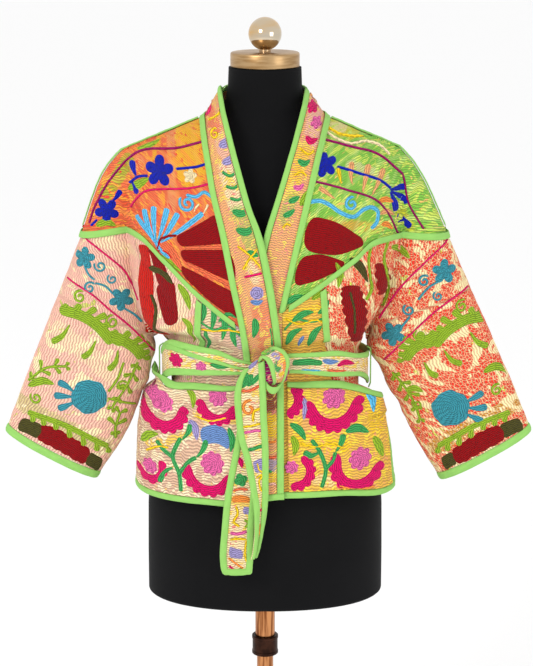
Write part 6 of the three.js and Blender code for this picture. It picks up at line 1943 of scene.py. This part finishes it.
def knotColour(u, t):
    # patches of the sash's cloth as they fall in the fold: green, lavender, green, orange, pink
    shade = np.broadcast_to(np.array(thread["cream"]), u.shape + (4,)).copy()
    for key, a, b, wide, tall in (("green", 0.5, 0.17, 0.42, 0.07), ("lavender", 0.6, 0.34, 0.24, 0.09),
                                  ("green", 0.4, 0.52, 0.2, 0.1), ("orange", 0.8, 0.5, 0.14, 0.22),
                                  ("yellow", 0.62, 0.66, 0.22, 0.05), ("hotPink", 0.88, 0.72, 0.12, 0.09),
                                  ("apricot", 0.6, 0.84, 0.34, 0.12)):
        inside = 1 - smooth(0.8, 1.15, np.hypot((u - a) / wide, (t - b) / tall))
        shade = shade + (np.array(thread[key]) - shade) * inside[..., None]
    return shade


makeKnot(knotColour)
for region, host in (("sashRight", onSash), ("sashLeft", onSash), ("tailFront", onTail("front")),
                     ("tailBack", onTail("back"))):
    embroider(region, motifs[region], host)
print("sash made")


# each cloth: its flat width, length and area in metres, the right one's and then the left one's in a pair,
# how it is held, what holds it, its bindings and its embroidery
sideCuts = {
    "front_yoke": ((0.37, 0.39, 0.049), (0.36, 0.37, 0.048), "draped", ["formBody"],
                   ["yoke_binding", "shoulder_binding"], "yoke"),
    "front_panel": ((0.1, 0.34, 0.026), (0.1, 0.34, 0.025), "hung", ["front_yoke"], ["front_seam_binding"],
                    "centre"),
    "side_panel": ((0.18, 0.49, 0.053), (0.15, 0.5, 0.04), "hung", ["front_yoke"],
                   ["slit_binding_front", "belt_loop", "hem_binding_front"], "side"),
    "neckband": ((0.06, 0.84, 0.036), (0.06, 0.83, 0.034), "draped", ["formBody", "front_yoke"],
                 ["front_edge_binding", "neckband_binding"], "band"),
    "sleeve": ((0.44, 0.47, 0.146), (0.46, 0.48, 0.158), "hung", ["front_yoke", "back_yoke"],
               ["cuff_binding"], "sleeve"),
    "pocket": ((0.27, 0.21, 0.044), (0.21, 0.17, 0.03), "hung", ["front_panel", "side_panel"],
               ["pocket_binding"], "pocket"),
}
otherCuts = {
    "sash_right": ((0.24, 0.06, 0.01), "stretched", ["side_panel_right", "sashKnot"], "sashRight"),
    "sash_left": ((0.23, 0.06, 0.009), "stretched", ["side_panel_left", "sashKnot"], "sashLeft"),
    "sash_back": ((0.47, 0.06, 0.025), "stretched", ["back_panel"], None),
    "sash_tail_front": ((0.05, 0.32, 0.01), "hung", ["sashKnot"], "tailFront"),
    "sash_tail_back": ((0.05, 0.31, 0.012), "hung", ["sashKnot"], "tailBack"),
    "knotWrap": ((0.04, 0.1, 0.002), "folded", ["sashKnot"], None),
    "knotLoop": ((0.012, 0.05, 0.0004), "folded", ["sashKnot"], None),
}


def declare(flat, region=None):
    width, length, area = flat


declare((0.46, 0.25, 0.109))
declare((0.55, 0.47, 0.186))
for base, (*flats, held, on, bound, part) in sideCuts.items():
    for flat, side in zip(flats, ("right", "left")):
        declare(flat,
                part + side.capitalize())
for name, (flat, held, on, region) in otherCuts.items():
    declare(flat, region)


# camera, light and floor
view = {"place": (0.0023, -3.18, 1.785), "down": 12.9, "focal": 2053 / 666 * 36}


def makeStudio():
    camera = bpy.data.objects.new("camera", bpy.data.cameras.new("camera"))
    bpy.context.scene.collection.objects.link(camera)
    camera.location = view["place"]
    camera.rotation_euler = (math.radians(90 - view["down"]), 0, 0)
    camera.data.sensor_fit, camera.data.sensor_height, camera.data.lens = "VERTICAL", 36.0, view["focal"]
    bpy.context.scene.camera = camera
    bm = bmesh.new()
    bmesh.ops.create_grid(bm, x_segments=1, y_segments=1, size=40.0)
    mesh = bpy.data.meshes.new("floor")
    bm.to_mesh(mesh)
    bm.free()
    floor = bpy.data.objects.new("floor", mesh)
    floor.location.z = -0.001
    bpy.context.scene.collection.objects.link(floor)
    paper, tree, shader = newMaterial("paleFloor", 0.9, 0.0)
    shader.inputs["Base Color"].default_value = (0.97, 0.97, 0.97, 1)
    mesh.materials.append(paper)
    world = bpy.context.scene.world or bpy.data.worlds.new("studio")
    bpy.context.scene.world = world
    world.use_nodes = True
    world.node_tree.nodes["Background"].inputs[0].default_value = (1, 1, 1, 1)
    world.node_tree.nodes["Background"].inputs[1].default_value = 1.0
    for name, place, aim, power, size in (
            ("keyLight", (-1.7, -2.6, 2.7), (0, 0, 1.1), 42, 1.0),
            ("fillLight", (2.3, -2.2, 1.5), (0, 0, 1.0), 14, 1.4)):
        lamp = bpy.data.lights.new(name, "AREA")
        lamp.energy, lamp.size = power, size
        made = bpy.data.objects.new(name, lamp)
        made.location = place
        made.rotation_euler = (Vector(aim) - Vector(place)).to_track_quat("-Z", "Y").to_euler()
        bpy.context.scene.collection.objects.link(made)
    bpy.context.scene.view_settings.view_transform = "Standard"


makeStudio()
